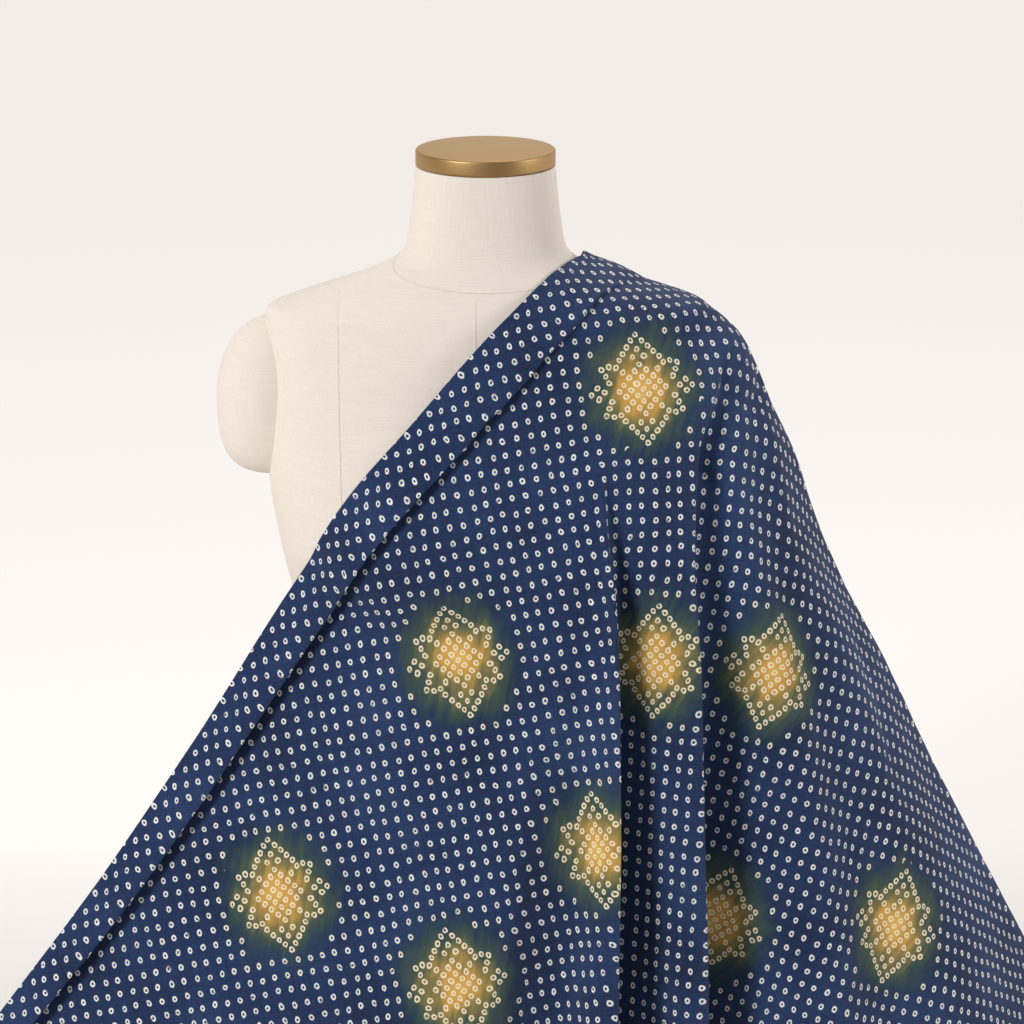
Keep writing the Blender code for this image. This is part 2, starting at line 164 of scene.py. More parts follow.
CLOTH_LEVELS = (
    ClothLevel(0.000, 0.0757, -0.002, 0.000, 0.2255, 0.000, 0.000, 0.0757, 0.000),
    ClothLevel(0.011, 0.0490, -0.044, -0.030, 0.229, 0.001, 0.028, 0.0735, 0.030),
    ClothLevel(0.045, 0.0170, -0.079, -0.062, 0.238, 0.003, 0.055, 0.068, 0.062),
    ClothLevel(0.132, -0.0390, -0.099, -0.094, 0.254, 0.006, 0.090, 0.055, 0.092),
    ClothLevel(0.241, -0.0960, -0.093, -0.129, 0.279, 0.009, 0.110, 0.040, 0.105),
    ClothLevel(0.355, -0.1480, -0.092, -0.145, 0.312, 0.012, 0.116, 0.022, 0.108),
    ClothLevel(0.518, -0.2180, -0.102, -0.159, 0.355, 0.015, 0.123, 0.000, 0.113),
    ClothLevel(0.688, -0.2970, -0.120, -0.173, 0.402, 0.018, 0.131, -0.025, 0.120),
    ClothLevel(0.839, -0.3750, -0.140, -0.187, 0.446, 0.020, 0.141, -0.048, 0.128),
    ClothLevel(1.000, -0.4590, -0.160, -0.200, 0.493, 0.022, 0.151, -0.070, 0.136),
)

FOLD_LINES = (
    FoldLine("edge", 0.0, 0.0, 0.0, 0.0, 0.0, 0.0, 0.0, 0.0, 1),
    FoldLine("band", 0.15, 0.095, 0.069, 0.034, 0.013, 0.004, 0.005, 0.004, 2),
    FoldLine("band_crease", 0.30, 0.192, 0.139, 0.069, 0.026, 0.007, 0.009, 0.008, 1),
    FoldLine("under_band", 0.288, 0.176, 0.118, 0.050, 0.016, 0.0, -0.001, -0.004, 2),
    FoldLine("panel", 0.33, 0.240, 0.178, 0.100, 0.045, 0.0, -0.001, -0.004, 3),
    FoldLine("left_middle", 0.345, 0.30, 0.260, 0.23, 0.16, 0.0, 0.0, 0.0, 3),
    FoldLine("left_full", 0.355, 0.33, 0.310, 0.34, 0.32, 0.0, 0.0, 0.004, 2),
    FoldLine("soft_ridge", 0.365, 0.355, 0.360, 0.42, 0.465, 0.0, 0.0, 0.010, 2),
    FoldLine("valley", 0.37, 0.37, 0.385, 0.45, 0.500, 0.0, 0.0, -0.012, 1),
    FoldLine("dip", 0.38, 0.385, 0.410, 0.485, 0.540, 0.0, -0.002, -0.014, 2),
    FoldLine("flank", 0.39, 0.395, 0.430, 0.515, 0.562, 0.0, 0.001, 0.014, 2),
    FoldLine("middle_edge", 0.40, 0.405, 0.440, 0.535, 0.589, 0.0, 0.008, 0.018, 2),
    FoldLine("middle_turn", 0.41, 0.415, 0.450, 0.528, 0.537, 0.0, -0.012, -0.026, 2),
    FoldLine("middle_deep", 0.42, 0.425, 0.460, 0.543, 0.566, 0.0, -0.020, -0.048, 2),
    FoldLine("between", 0.53, 0.50, 0.520, 0.577, 0.620, 0.0, -0.012, -0.030, 2),
    FoldLine("arm_round", 0.70, 0.62, 0.620, 0.645, 0.647, 0.002, 0.002, -0.002, 2),
    FoldLine("arm_edge", 0.775, 0.710, 0.675, 0.670, 0.661, 0.005, 0.005, -0.004, 2),
    FoldLine("arm_turn", 0.79, 0.718, 0.668, 0.652, 0.606, -0.006, -0.018, -0.046, 2),
    FoldLine("arm_deep", 0.81, 0.730, 0.686, 0.675, 0.632, -0.010, -0.028, -0.068, 2),
    FoldLine("shade", 0.83, 0.752, 0.725, 0.72, 0.690, -0.006, -0.021, -0.046, 2),
    FoldLine("right_slope", 0.85, 0.775, 0.765, 0.775, 0.735, 0.0, -0.004, -0.014, 2),
    FoldLine("right_ridge", 0.87, 0.80, 0.800, 0.82, 0.785, 0.003, 0.006, 0.006, 2),
    FoldLine("right_groove", 0.90, 0.84, 0.845, 0.86, 0.830, 0.0, -0.004, -0.012, 2),
    FoldLine("right_full", 0.94, 0.92, 0.920, 0.93, 0.905, 0.0, 0.0, 0.002, 3),
    FoldLine("side", 1.0, 1.0, 1.0, 1.0, 1.0, 0.0, 0.0, 0.0, 0),
)

# The photograph's view, which also places the medallions and creases

FRAME_PIXELS = 1024
SENSOR_MM = 36.0
LENS_MM = 117.2
AIM = Vector((0.020, 0.0, 0.47))
AIM_DISTANCE = 2.6
LOOKING_DOWN = math.radians(17.0)


class Crease(NamedTuple):
    """A soft trough (height below zero) or ridge between two places in the photograph."""

    start: tuple[float, float]
    end: tuple[float, float]
    height: float
    width: float


MEDALLION_PLACES = (
    (643, 388),
    (460, 660),
    (655, 662),
    (775, 673),
    (280, 895),
    (600, 850),
    (455, 985),
    (715, 920),
    (893, 925),
)

CREASES = (
    Crease((528, 640), (503, 722), -0.0026, 0.006),
    Crease((512, 735), (562, 648), 0.0022, 0.007),
    Crease((690, 425), (722, 505), -0.0022, 0.006),
    Crease((425, 560), (545, 545), -0.0020, 0.010),
    Crease((330, 820), (425, 872), -0.0022, 0.012),
    Crease((560, 560), (500, 640), 0.0018, 0.008),
    Crease((590, 300), (520, 400), 0.0016, 0.007),
    Crease((640, 300), (610, 420), -0.0018, 0.008),
    Crease((765, 420), (800, 600), 0.0020, 0.010),
    Crease((850, 620), (905, 800), -0.0030, 0.014),
    Crease((150, 905), (260, 860), -0.0022, 0.012),
    Crease((470, 420), (600, 520), -0.0016, 0.014),
)


# Shape helpers


def smooth_curve(knots: Sequence[float], values: Sequence[float]) -> Curve:
    """Makes a function through the knots that never overshoots a value (a monotone cubic).

    Args:
        knots: Places, in rising order.
        values: The value at each knot.

    Returns:
        A function from a place, or an array of them, to the value there.
    """
    places = np.asarray(knots, float)
    heights = np.asarray(values, float)
    widths = np.diff(places)
    rises = np.diff(heights) / widths
    slopes = np.empty(len(places))
    slopes[0], slopes[-1] = rises[0], rises[-1]
    for k in range(1, len(places) - 1):
        before, after = rises[k - 1], rises[k]
        near, far = 2 * widths[k] + widths[k - 1], widths[k] + 2 * widths[k - 1]
        same_way = before * after > 0
        slopes[k] = (near + far) / (near / before + far / after) if same_way else 0.0

    def at(place: Any) -> Any:
        """Reads the curve at a place."""
        place = np.clip(place, places[0], places[-1])
        span = np.clip(np.searchsorted(places, place, side="right") - 1, 0, len(widths) - 1)
        width = widths[span]
        t = (place - places[span]) / width
        return (
            heights[span] * (1 + 2 * t) * (1 - t) ** 2
            + heights[span + 1] * t * t * (3 - 2 * t)
            + width * slopes[span] * t * (1 - t) ** 2
            + width * slopes[span + 1] * t * t * (t - 1)
        )

    return at


def table_curves(rows: Sequence[Any], knot: str, spread: Curve | None = None) -> dict[str, Curve]:
    """Makes one smooth curve for each column of a table.

    Args:
        rows: The table's rows.
        knot: The column that places each row.
        spread: What is done to a knot before the curve is made, if anything.

    Returns:
        The curves by their columns' names.
    """
    knots = [getattr(row, knot) for row in rows]
    if spread:
        knots = [spread(value) for value in knots]
    columns = [name for name in rows[0]._fields if name not in (knot, "name")]
    return {name: smooth_curve(knots, [getattr(row, name) for row in rows]) for name in columns}


FORM = table_curves(FORM_SECTIONS, "height")
LEVEL = table_curves(CLOTH_LEVELS, "drop", math.sqrt)
CREST_LINE = table_curves(CREST, "share")


def mesh_object(name: str, points: Any, faces: Any, smooth_angle: float = 50.0) -> bpy.types.Object:
    """Makes a shaded object from points and faces, at the origin.

    Args:
        name: The object's name.
        points: The points, in metres.
        faces: The faces as tuples of point numbers.
        smooth_angle: Edges sharper than this many degrees stay sharp.

    Returns:
        The new object, linked to the scene.
    """
    mesh = bpy.data.meshes.new(name)
    mesh.from_pydata([tuple(point) for point in points], [], faces)
    mesh.shade_smooth()
    mesh.set_sharp_from_angle(angle=math.radians(smooth_angle))
    made = bpy.data.objects.new(name, mesh)
    bpy.context.scene.collection.objects.link(made)
    return made


def linear(code: str) -> tuple[float, float, float, float]:
    """Turns an sRGB hex colour into the linear colour that a shader takes.

    Args:
        code: Six hex digits after a #.

    Returns:
        Linear red, green, blue and an alpha of 1.
    """
    parts = [int(code[k : k + 2], 16) / 255 for k in (1, 3, 5)]
    bent = [p / 12.92 if p <= 0.04045 else ((p + 0.055) / 1.055) ** 2.4 for p in parts]
    return bent[0], bent[1], bent[2], 1.0


class Kind(Enum):
    """The node types that the materials and the stitches use."""

    MATH = "ShaderNodeMath"
    VECTOR = "ShaderNodeVectorMath"
    RANGE = "ShaderNodeMapRange"
    MAPPING = "ShaderNodeMapping"
    MIX = "ShaderNodeMix"
    RAMP = "ShaderNodeValToRGB"
    NOISE = "ShaderNodeTexNoise"
    CHANCE = "ShaderNodeTexWhiteNoise"
    UV = "ShaderNodeUVMap"
    PLACE = "ShaderNodeTexCoord"
    SPLIT = "ShaderNodeSeparateXYZ"
    JOIN = "ShaderNodeCombineXYZ"
    BUMP = "ShaderNodeBump"
    GIVEN = "NodeGroupInput"
    RESULT = "NodeGroupOutput"
    CURVE = "GeometryNodeMeshToCurve"
    SPACED = "GeometryNodeCurveToPoints"
    BALL = "GeometryNodeMeshUVSphere"
    PLACED = "GeometryNodeInstanceOnPoints"
    REAL = "GeometryNodeRealizeInstances"
    SMOOTH = "GeometryNodeSetShadeSmooth"
    MATERIAL = "GeometryNodeSetMaterial"


def fill_inputs(tree: bpy.types.NodeTree, node: bpy.types.Node, links: dict[Any, Any]) -> None:
    """Gives a node's inputs their values and links.

    Args:
        tree: The node's tree.
        node: The node.
        links: What each input takes, by its name or number: another node, whose first output in
            use is taken, one output of a node, or a value.
    """
    for key, value in links.items():
        if isinstance(value, bpy.types.Node):
            value = next(socket for socket in value.outputs if socket.enabled)
        if isinstance(value, bpy.types.NodeSocket):
            tree.links.new(value, node.inputs[key])
        else:
            node.inputs[key].default_value = value


def add_node(
    tree: bpy.types.NodeTree, kind: Kind, settings: dict[str, Any], links: dict[Any, Any]
) -> bpy.types.Node:
    """Adds a node with its settings, values and links.

    Args:
        tree: The tree that gets the node.
        kind: The node's type.
        settings: Its properties by name.
        links: What each input takes, as for fill_inputs.

    Returns:
        The new node.
    """
    made = tree.nodes.new(kind.value)
    for name, value in settings.items():
        setattr(made, name, value)
    fill_inputs(tree, made, links)
    return made


def new_material(name: str) -> tuple[bpy.types.Material, bpy.types.NodeTree, bpy.types.Node]:
    """Makes a node material.

    Args:
        name: The material's name.

    Returns:
        The material, its node tree and its Principled BSDF.
    """
    made = bpy.data.materials.new(name)
    made.use_nodes = True
    return made, made.node_tree, made.node_tree.nodes["Principled BSDF"]


def colour_ramp(
    tree: bpy.types.NodeTree, source: Any, stops: Sequence[tuple[float, str]]
) -> bpy.types.Node:
    """Adds a colour ramp with stops given as hex colours.

    Args:
        tree: The tree that gets the ramp.
        source: The node or output that the ramp reads.
        stops: Each stop's place and colour.

    Returns:
        The ramp.
    """
    ramp = add_node(tree, Kind.RAMP, {}, {0: source})
    elements = ramp.color_ramp.elements
    while len(elements) < len(stops):
        elements.new(0.5)
    for element, (place, code) in zip(elements, stops):
        element.position = place
        element.color = linear(code)
    return ramp


def crossing_threads(
    tree: bpy.types.NodeTree, place: Any, pitch_mm: float, ways: tuple[int, int]
) -> bpy.types.Node:
    """Adds the height of a plain weave: threads that pass over and under each other.

    Args:
        tree: The tree that gets the nodes.
        place: Where the point is, in metres.
        pitch_mm: The distance over two threads.
        ways: The numbers of the two axes that the threads run along.

    Returns:
        The height, from -1 to 1.
    """
    turns = 2000 * math.pi / pitch_mm
    scaled = add_node(tree, Kind.VECTOR, {"operation": "SCALE"}, {0: place, "Scale": turns})
    waves = add_node(tree, Kind.VECTOR, {"operation": "SINE"}, {0: scaled})
    split = add_node(tree, Kind.SPLIT, {}, {0: waves})
    both = {k: split.outputs[way] for k, way in enumerate(ways)}
    return add_node(tree, Kind.MATH, {"operation": "MULTIPLY"}, both)


# Finishes

Stops = tuple[tuple[float, str], ...]


@dataclass(frozen=True)
class TieDyedCotton:
    """Plain-weave cotton, tied and dyed: matte indigo with undyed rings and star medallions.

    The eye takes it for hand-dyed cloth by its cloudy indigo, by rings that all differ a little
    round their dark ties, and by the yellow that bleeds to green round each medallion.
    """

    name: str = "tie_dyed_cotton"
    ground_stops: Stops = ((0.0, "#15213B"), (0.5, "#20335A"), (1.0, "#2E446C"))
    blush_stops: Stops = (
        (0.00, "#E4B560"),
        (0.20, "#CC9E4C"),
        (0.37, "#84794A"),
        (0.56, "#42544A"),
        (0.84, "#263D4B"),
    )
    undyed: str = "#EFEFED"
    undyed_blush: str = "#F6E6C4"
    # The cloth is tied under tension, so every mark comes out narrower than it is tall.
    narrow: float = 0.90
    pitch_mm: float = 11.2
    ring_mm: float = 2.34
    tie_mm: float = 1.05
    clear_mm: float = 50.0
    blush_mm: float = 64.0
    # Real threads are about 0.35 mm apart. They are drawn at 1.1 mm, or they would not show.
    thread_mm: float = 1.1
    thread_relief_mm: float = 0.12
    roughness: float = 0.9
    sheen: float = 0.08

    # A quarter of a medallion, charted: millimetres across and along from its middle.
    chart: tuple[tuple[float, float], ...] = (
        (0.0, 0.0),
        (4.8, 4.8),
        (9.6, 0.0),
        (0.0, 9.6),
        (14.4, 4.8),
        (9.6, 9.6),
        (4.8, 14.4),
        (19.2, 0.0),
        (14.4, 14.4),
        (0.0, 19.2),
        (20.0, 18.5),
        (26.0, 20.0),
        (32.0, 18.5),
        (29.0, 13.0),
        (26.5, 7.5),
        (31.5, 0.0),
        (36.5, 4.5),
        (42.0, 0.0),
        (17.0, 24.0),
        (13.0, 29.0),
        (9.0, 33.5),
        (4.8, 38.0),
        (0.0, 42.5),
        (5.0, 26.0),
        (0.0, 31.5),
    )

    def build(self) -> bpy.types.Material:
        """Makes the material.

        Returns:
            The finished material, which reads the UV maps named flat and motif.
        """
        material, tree, shader = new_material(self.name)
        maps = [add_node(tree, Kind.UV, {"uv_map": name}, {}) for name in ("flat", "motif")]
        stretch = (1000 / self.narrow, 1000.0, 0.0)
        flat, motif = (
            add_node(tree, Kind.VECTOR, {"operation": "MULTIPLY"}, {0: uv, 1: stretch}) for uv in maps
        )
        rings = self.rows_of_rings(tree, flat, motif)
        star = self.star(tree, motif)
        undyed = add_node(tree, Kind.MATH, {"operation": "MAXIMUM"}, {0: rings, 1: star})
        blush, cover = self.blush(tree, flat, motif)
        ground = self.ground(tree, flat)
        dyed = add_node(tree, Kind.MIX, {"data_type": "RGBA"}, {0: cover, 6: ground, 7: blush})
        bare, stained = linear(self.undyed), linear(self.undyed_blush)
        resist = add_node(tree, Kind.MIX, {"data_type": "RGBA"}, {0: cover, 6: bare, 7: stained})
        colour = add_node(tree, Kind.MIX, {"data_type": "RGBA"}, {0: undyed, 6: dyed, 7: resist})
        fill_inputs(
            tree,
            shader,
            {
                "Base Color": colour,
                "Normal": self.relief(tree, maps[0]),
                "Roughness": self.roughness,
                "Sheen Weight": self.sheen,
                "Sheen Roughness": 0.6,
                "Specular IOR Level": 0.2,
            },
        )
        return material

    def rows_of_rings(
        self, tree: bpy.types.NodeTree, flat: bpy.types.Node, motif: bpy.types.Node
    ) -> bpy.types.Node:
        """Draws the even rows of rings, left out round each medallion.

        Args:
            tree: The material's tree.
            flat: Where the point is on the flat cloth, in stretched millimetres.
            motif: Where it is from the nearest medallion's middle, in the same.

        Returns:
            How far the point is undyed, from 0 to 1.
        """
        cells = add_node(tree, Kind.VECTOR, {"operation": "SCALE"}, {0: flat, "Scale": 1 / self.pitch_mm})
        wander = add_node(tree, Kind.NOISE, {}, {"Vector": cells, "Scale": 0.35})
        wandered = add_node(
            tree,
            Kind.VECTOR,
            {"operation": "MULTIPLY_ADD"},
            {0: wander.outputs["Color"], 1: (0.45, 0.45, 0.0), 2: cells},
        )
        cell = add_node(tree, Kind.VECTOR, {"operation": "FLOOR"}, {0: wandered})
        chance = add_node(tree, Kind.CHANCE, {"noise_dimensions": "2D"}, {"Vector": cell})
        inside = add_node(tree, Kind.VECTOR, {"operation": "FRACTION"}, {0: wandered})
        shifted = add_node(
            tree,
            Kind.VECTOR,
            {"operation": "MULTIPLY_ADD"},
            {0: chance.outputs["Color"], 1: (0.12, 0.12, 0.0), 2: inside},
        )
        centred = add_node(
            tree, Kind.VECTOR, {"operation": "SUBTRACT"}, {0: shifted, 1: (0.56, 0.56, 0.0)}
        )
        placed = add_node(
            tree, Kind.VECTOR, {"operation": "SCALE"}, {0: centred, "Scale": self.pitch_mm}
        )
        upright = add_node(
            tree, Kind.VECTOR, {"operation": "MULTIPLY"}, {0: placed, 1: (1.12, 0.95, 0.0)}
        )
        length = add_node(tree, Kind.VECTOR, {"operation": "LENGTH"}, {0: upright})
        ring = self.ring(tree, length, flat, chance.outputs["Value"])
        middle = add_node(tree, Kind.VECTOR, {"operation": "SUBTRACT"}, {0: motif, 1: placed})
        away = add_node(tree, Kind.VECTOR, {"operation": "LENGTH"}, {0: middle})
        clear = add_node(tree, Kind.MATH, {"operation": "GREATER_THAN"}, {0: away, 1: self.clear_mm})
        return add_node(tree, Kind.MATH, {"operation": "MULTIPLY"}, {0: ring, 1: clear})

    def ring(
        self,
        tree: bpy.types.NodeTree,
        away: bpy.types.Node,
        place: bpy.types.Node,
        chance: bpy.types.NodeSocket | float,
    ) -> bpy.types.Node:
        """Draws one hand-tied ring with a dark spot in it.

        Args:
            tree: The material's tree.
            away: The distance from the ring's middle, in stretched millimetres.
            place: What roughens the ring's outline.
            chance: A number from 0 to 1 that sets this ring's strength.

        Returns:
            How far the point is undyed, from 0 to 1.
        """
        rough = add_node(tree, Kind.NOISE, {}, {"Vector": place, "Scale": 0.42, "Detail": 1.0})
        uneven = add_node(
            tree, Kind.MATH, {"operation": "MULTIPLY_ADD"}, {0: rough, 1: 1.0, 2: -0.5}
        )
        reach = add_node(tree, Kind.MATH, {"operation": "ADD"}, {0: away, 1: uneven})
        outer = self.step(tree, reach, self.ring_mm + 0.22, self.ring_mm - 0.22, 0.0)
        spot = self.step(tree, reach, self.tie_mm - 0.25, self.tie_mm + 0.25, 0.04)
        ring = add_node(tree, Kind.MATH, {"operation": "MULTIPLY"}, {0: outer, 1: spot})
        patchy = add_node(tree, Kind.NOISE, {}, {"Vector": place, "Scale": 0.19, "Detail": 1.0})
        kept = self.step(tree, patchy, 0.26, 0.40, 0.35)
        whole = add_node(tree, Kind.MATH, {"operation": "MULTIPLY"}, {0: ring, 1: kept})
        strength = add_node(
            tree, Kind.MATH, {"operation": "MULTIPLY_ADD"}, {0: chance, 1: 0.16, 2: 0.84}
        )
        return add_node(tree, Kind.MATH, {"operation": "MULTIPLY"}, {0: whole, 1: strength})

    def step(
        self, tree: bpy.types.NodeTree, value: bpy.types.Node, start: float, end: float, low: float
    ) -> bpy.types.Node:
        """Adds a smooth step up to 1.

        Args:
            tree: The material's tree.
            value: What is read.
            start: The value at which the step is still low.
            end: The value from which it is 1.
            low: How high the step starts.

        Returns:
            The step.
        """
        sizes = {"Value": value, "From Min": start, "From Max": end, "To Min": low, "To Max": 1.0}
        return add_node(tree, Kind.RANGE, {"interpolation_type": "SMOOTHSTEP"}, sizes)

    def star(self, tree: bpy.types.NodeTree, motif: bpy.types.Node) -> bpy.types.Node:
        """Draws the star of rings from the chart of a quarter of it.

        Args:
            tree: The material's tree.
            motif: Where the point is from the nearest medallion's middle, in millimetres.

        Returns:
            How far the point is undyed, from 0 to 1.
        """
        wander = add_node(tree, Kind.NOISE, {}, {"Vector": motif, "Scale": 0.06})
        bent = add_node(
            tree,
            Kind.VECTOR,
            {"operation": "MULTIPLY_ADD"},
            {0: wander.outputs["Color"], 1: (4.4, 4.4, 0.0), 2: motif},
        )
        straight = add_node(tree, Kind.VECTOR, {"operation": "SUBTRACT"}, {0: bent, 1: (2.2, 2.2, 0.0)})
        positive = add_node(tree, Kind.VECTOR, {"operation": "ABSOLUTE"}, {0: straight})
        nearest = None
        for spot in self.chart:
            away = add_node(tree, Kind.VECTOR, {"operation": "DISTANCE"}, {0: positive, 1: (*spot, 0.0)})
            if nearest is None:
                nearest = away
            else:
                nearest = add_node(tree, Kind.MATH, {"operation": "MINIMUM"}, {0: nearest, 1: away})
        return self.ring(tree, nearest, motif, 0.8)

    def blush(
        self, tree: bpy.types.NodeTree, flat: bpy.types.Node, motif: bpy.types.Node
    ) -> tuple[bpy.types.Node, bpy.types.Node]:
        """Colours the cloth round a medallion, from ochre in the middle to dark green.

        Args:
            tree: The material's tree.
            flat: Where the point is on the flat cloth.
            motif: Where it is from the nearest medallion's middle.

        Returns:
            The colour, and how far it covers the indigo.
        """
        turned = {"Vector": flat, "Rotation": (0.0, 0.0, -0.45), "Scale": (5.0, 32.0, 1.0)}
        streaked = add_node(tree, Kind.MAPPING, {"vector_type": "TEXTURE"}, turned)
        streaks = add_node(tree, Kind.NOISE, {}, {"Vector": streaked, "Scale": 1.0, "Detail": 4.0})
        cloud = add_node(tree, Kind.NOISE, {}, {"Vector": flat, "Scale": 0.045, "Detail": 2.0})
        both = add_node(tree, Kind.MATH, {"operation": "ADD"}, {0: streaks, 1: cloud})
        uneven = add_node(tree, Kind.MATH, {"operation": "MULTIPLY_ADD"}, {0: both, 1: 0.42, 2: -0.42})
        radius = add_node(tree, Kind.VECTOR, {"operation": "LENGTH"}, {0: motif})
        reach = add_node(
            tree,
            Kind.MATH,
            {"operation": "MULTIPLY_ADD"},
            {0: radius, 1: 1 / self.blush_mm, 2: uneven},
        )
        return colour_ramp(tree, reach, self.blush_stops), self.step(tree, reach, 1.04, 0.56, 0.0)

    def ground(self, tree: bpy.types.NodeTree, flat: bpy.types.Node) -> bpy.types.Node:
        """Makes the cloudy indigo ground with its darker and lighter threads.

        Args:
            tree: The material's tree.
            flat: Where the point is on the flat cloth, in stretched millimetres.

        Returns:
            The ground's colour.
        """
        tone = add_node(tree, Kind.NOISE, {}, {"Vector": flat, "Scale": 0.011, "Detail": 4.0})
        for scale in ((0.75, 0.05, 1.0), (0.05, 0.75, 1.0), (0.55, 0.55, 1.0)):
            drawn = add_node(tree, Kind.MAPPING, {}, {"Vector": flat, "Scale": scale})
            threads = add_node(tree, Kind.NOISE, {}, {"Vector": drawn, "Scale": 1.0, "Detail": 1.0})
            tone = add_node(
                tree, Kind.MATH, {"operation": "MULTIPLY_ADD"}, {0: threads, 1: 0.36, 2: tone}
            )
        share = add_node(tree, Kind.RANGE, {}, {"Value": tone, "From Min": 0.72, "From Max": 1.36})
        return colour_ramp(tree, share, self.ground_stops)

    def relief(self, tree: bpy.types.NodeTree, flat: bpy.types.Node) -> bpy.types.Node:
        """Raises the crossing threads.

        Args:
            tree: The material's tree.
            flat: Where the point is on the flat cloth, in metres.

        Returns:
            The surface's normal.
        """
        weave = crossing_threads(tree, flat, self.thread_mm, (0, 1))
        woven = {"Strength": 0.4, "Distance": self.thread_relief_mm / 1000, "Height": weave}
        return add_node(tree, Kind.BUMP, {}, woven)


@dataclass(frozen=True)
class FormLinen:
    """Unbleached plain-weave linen, stretched and sewn over a padded form.

    The eye takes it for linen by its dry, even matte and its faint threads both ways.
    """

    name: str = "unbleached_linen"
    stops: Stops = ((0.0, "#E9DED3"), (1.0, "#F1E8DD"))
    # Real threads are about 0.5 mm apart. They are drawn at 1.1 mm, or they would not show.
    thread_mm: float = 1.1
    relief_mm: float = 0.10
    roughness: float = 0.95

    def build(self) -> bpy.types.Material:
        """Makes the material.

        Returns:
            The finished material, which reads the object's own coordinates.
        """
        material, tree, shader = new_material(self.name)
        place = add_node(tree, Kind.PLACE, {}, {}).outputs["Object"]
        slubs = None
        for scale in ((40.0, 40.0, 1100.0), (1100.0, 1100.0, 40.0)):
            drawn = add_node(tree, Kind.MAPPING, {}, {"Vector": place, "Scale": scale})
            threads = add_node(tree, Kind.NOISE, {}, {"Vector": drawn, "Scale": 1.0, "Detail": 1.0})
            if slubs is None:
                slubs = threads
            else:
                slubs = add_node(tree, Kind.MATH, {"operation": "ADD"}, {0: slubs, 1: threads})
        tone = add_node(tree, Kind.RANGE, {}, {"Value": slubs, "From Min": 0.6, "From Max": 1.4})
        weave = crossing_threads(tree, place, self.thread_mm, (0, 2))
        both = add_node(tree, Kind.MATH, {"operation": "MULTIPLY_ADD"}, {0: slubs, 1: 0.8, 2: weave})
        raised = {"Strength": 0.4, "Distance": self.relief_mm / 1000, "Height": both}
        fill_inputs(
            tree,
            shader,
            {
                "Base Color": colour_ramp(tree, tone, self.stops),
                "Normal": add_node(tree, Kind.BUMP, {}, raised),
                "Roughness": self.roughness,
                "Specular IOR Level": 0.2,
            },
        )
        return material


@dataclass(frozen=True)
class BrushedBrass:
    """Turned and brushed brass: satin, with fine rings round its axis.

    The eye takes it for metal by the soft bands of light along its side and its dull gold top.
    """

    name: str = "brushed_brass"
    stops: Stops = ((0.3, "#AD8B5C"), (0.7, "#BB9A6A"))
    # Real brush lines are about 0.1 mm apart. They are drawn at 0.5 mm, or they would not show.
    brush_mm: float = 0.5
    roughness: float = 0.48

    def build(self) -> bpy.types.Material:
        """Makes the material.

        Returns:
            The finished material, which reads the object's own coordinates.
        """
        material, tree, shader = new_material(self.name)
        place = add_node(tree, Kind.PLACE, {}, {}).outputs["Object"]
        ways = add_node(tree, Kind.SPLIT, {}, {0: place})
        level = add_node(tree, Kind.JOIN, {}, {0: ways.outputs[0], 1: ways.outputs[1]})
        radius = add_node(tree, Kind.VECTOR, {"operation": "LENGTH"}, {0: level})
        turned = add_node(tree, Kind.JOIN, {}, {0: radius, 2: ways.outputs[2]})
        lines = {"Vector": turned, "Scale": 1000 / self.brush_mm, "Detail": 2.0}
        brushed = add_node(tree, Kind.NOISE, {}, lines)
        rough = add_node(
            tree,
            Kind.MATH,
            {"operation": "MULTIPLY_ADD"},
            {0: brushed, 1: 0.10, 2: self.roughness - 0.05},
        )
        grooves = {"Strength": 0.15, "Distance": 0.0001, "Height": brushed}
        fill_inputs(
            tree,
            shader,
            {
                "Base Color": colour_ramp(tree, brushed, self.stops),
                "Normal": add_node(tree, Kind.BUMP, {}, grooves),
                "Roughness": rough,
                "Metallic": 1.0,
            },
        )
        return material


@dataclass(frozen=True)
class CottonThread:
    """Twisted cotton sewing thread: matte, with its ply just showing."""

    name: str
    light: str
    dark: str

    def build(self) -> bpy.types.Material:
        """Makes the material.

        Returns:
            The finished material, which reads the object's own coordinates.
        """
        material, tree, shader = new_material(self.name)
        place = add_node(tree, Kind.PLACE, {}, {}).outputs["Object"]
        ply = add_node(tree, Kind.NOISE, {}, {"Vector": place, "Scale": 1400.0, "Detail": 1.0})
        colour = colour_ramp(tree, ply, ((0.3, self.dark), (0.7, self.light)))
        fill_inputs(tree, shader, {"Base Color": colour, "Roughness": 0.8})
        return material


@dataclass(frozen=True)
class StudioPaper:
    """The pale seamless paper of a photographer's sweep: matte, with a painted glow of its own (emission,
    though it is no lamp) that is faint at the front and strong at the back.
    """

    name: str = "seamless_paper"
    # Painted light: colour is the paper's glow (its emission colour), and diffuse is its own grey
    # reflectance under the lamps.
    colour: str = "#FAF5F1"
    diffuse: str = "#A8A5A2"
    painted_glow_front: float = 0.05
    painted_glow_back: float = 0.71
    painted_glow_start: float = -0.9
    painted_glow_end: float = 0.5

    def build(self) -> bpy.types.Material:
        """Makes the material.

        Returns:
            The finished material, which reads the object's own coordinates.
        """
        material, tree, shader = new_material(self.name)
        place = add_node(tree, Kind.PLACE, {}, {}).outputs["Object"]
        ways = add_node(tree, Kind.SPLIT, {}, {0: place})
        # Painted light: the glow's strength rises along y from its front value to its back value, so the
        # paper is brighter at the back by its own glow.
        spread = {
            "Value": ways.outputs[1],
            "From Min": self.painted_glow_start,
            "From Max": self.painted_glow_end,
            "To Min": self.painted_glow_front,
            "To Max": self.painted_glow_back,
        }
        fill_inputs(
            tree,
            shader,
            {
                "Base Color": linear(self.diffuse),
                "Emission Color": linear(self.colour),
                "Emission Strength": add_node(tree, Kind.RANGE, {}, spread),
                "Roughness": 1.0,
                "Specular IOR Level": 0.0,
            },
        )
        return material


# The dress form


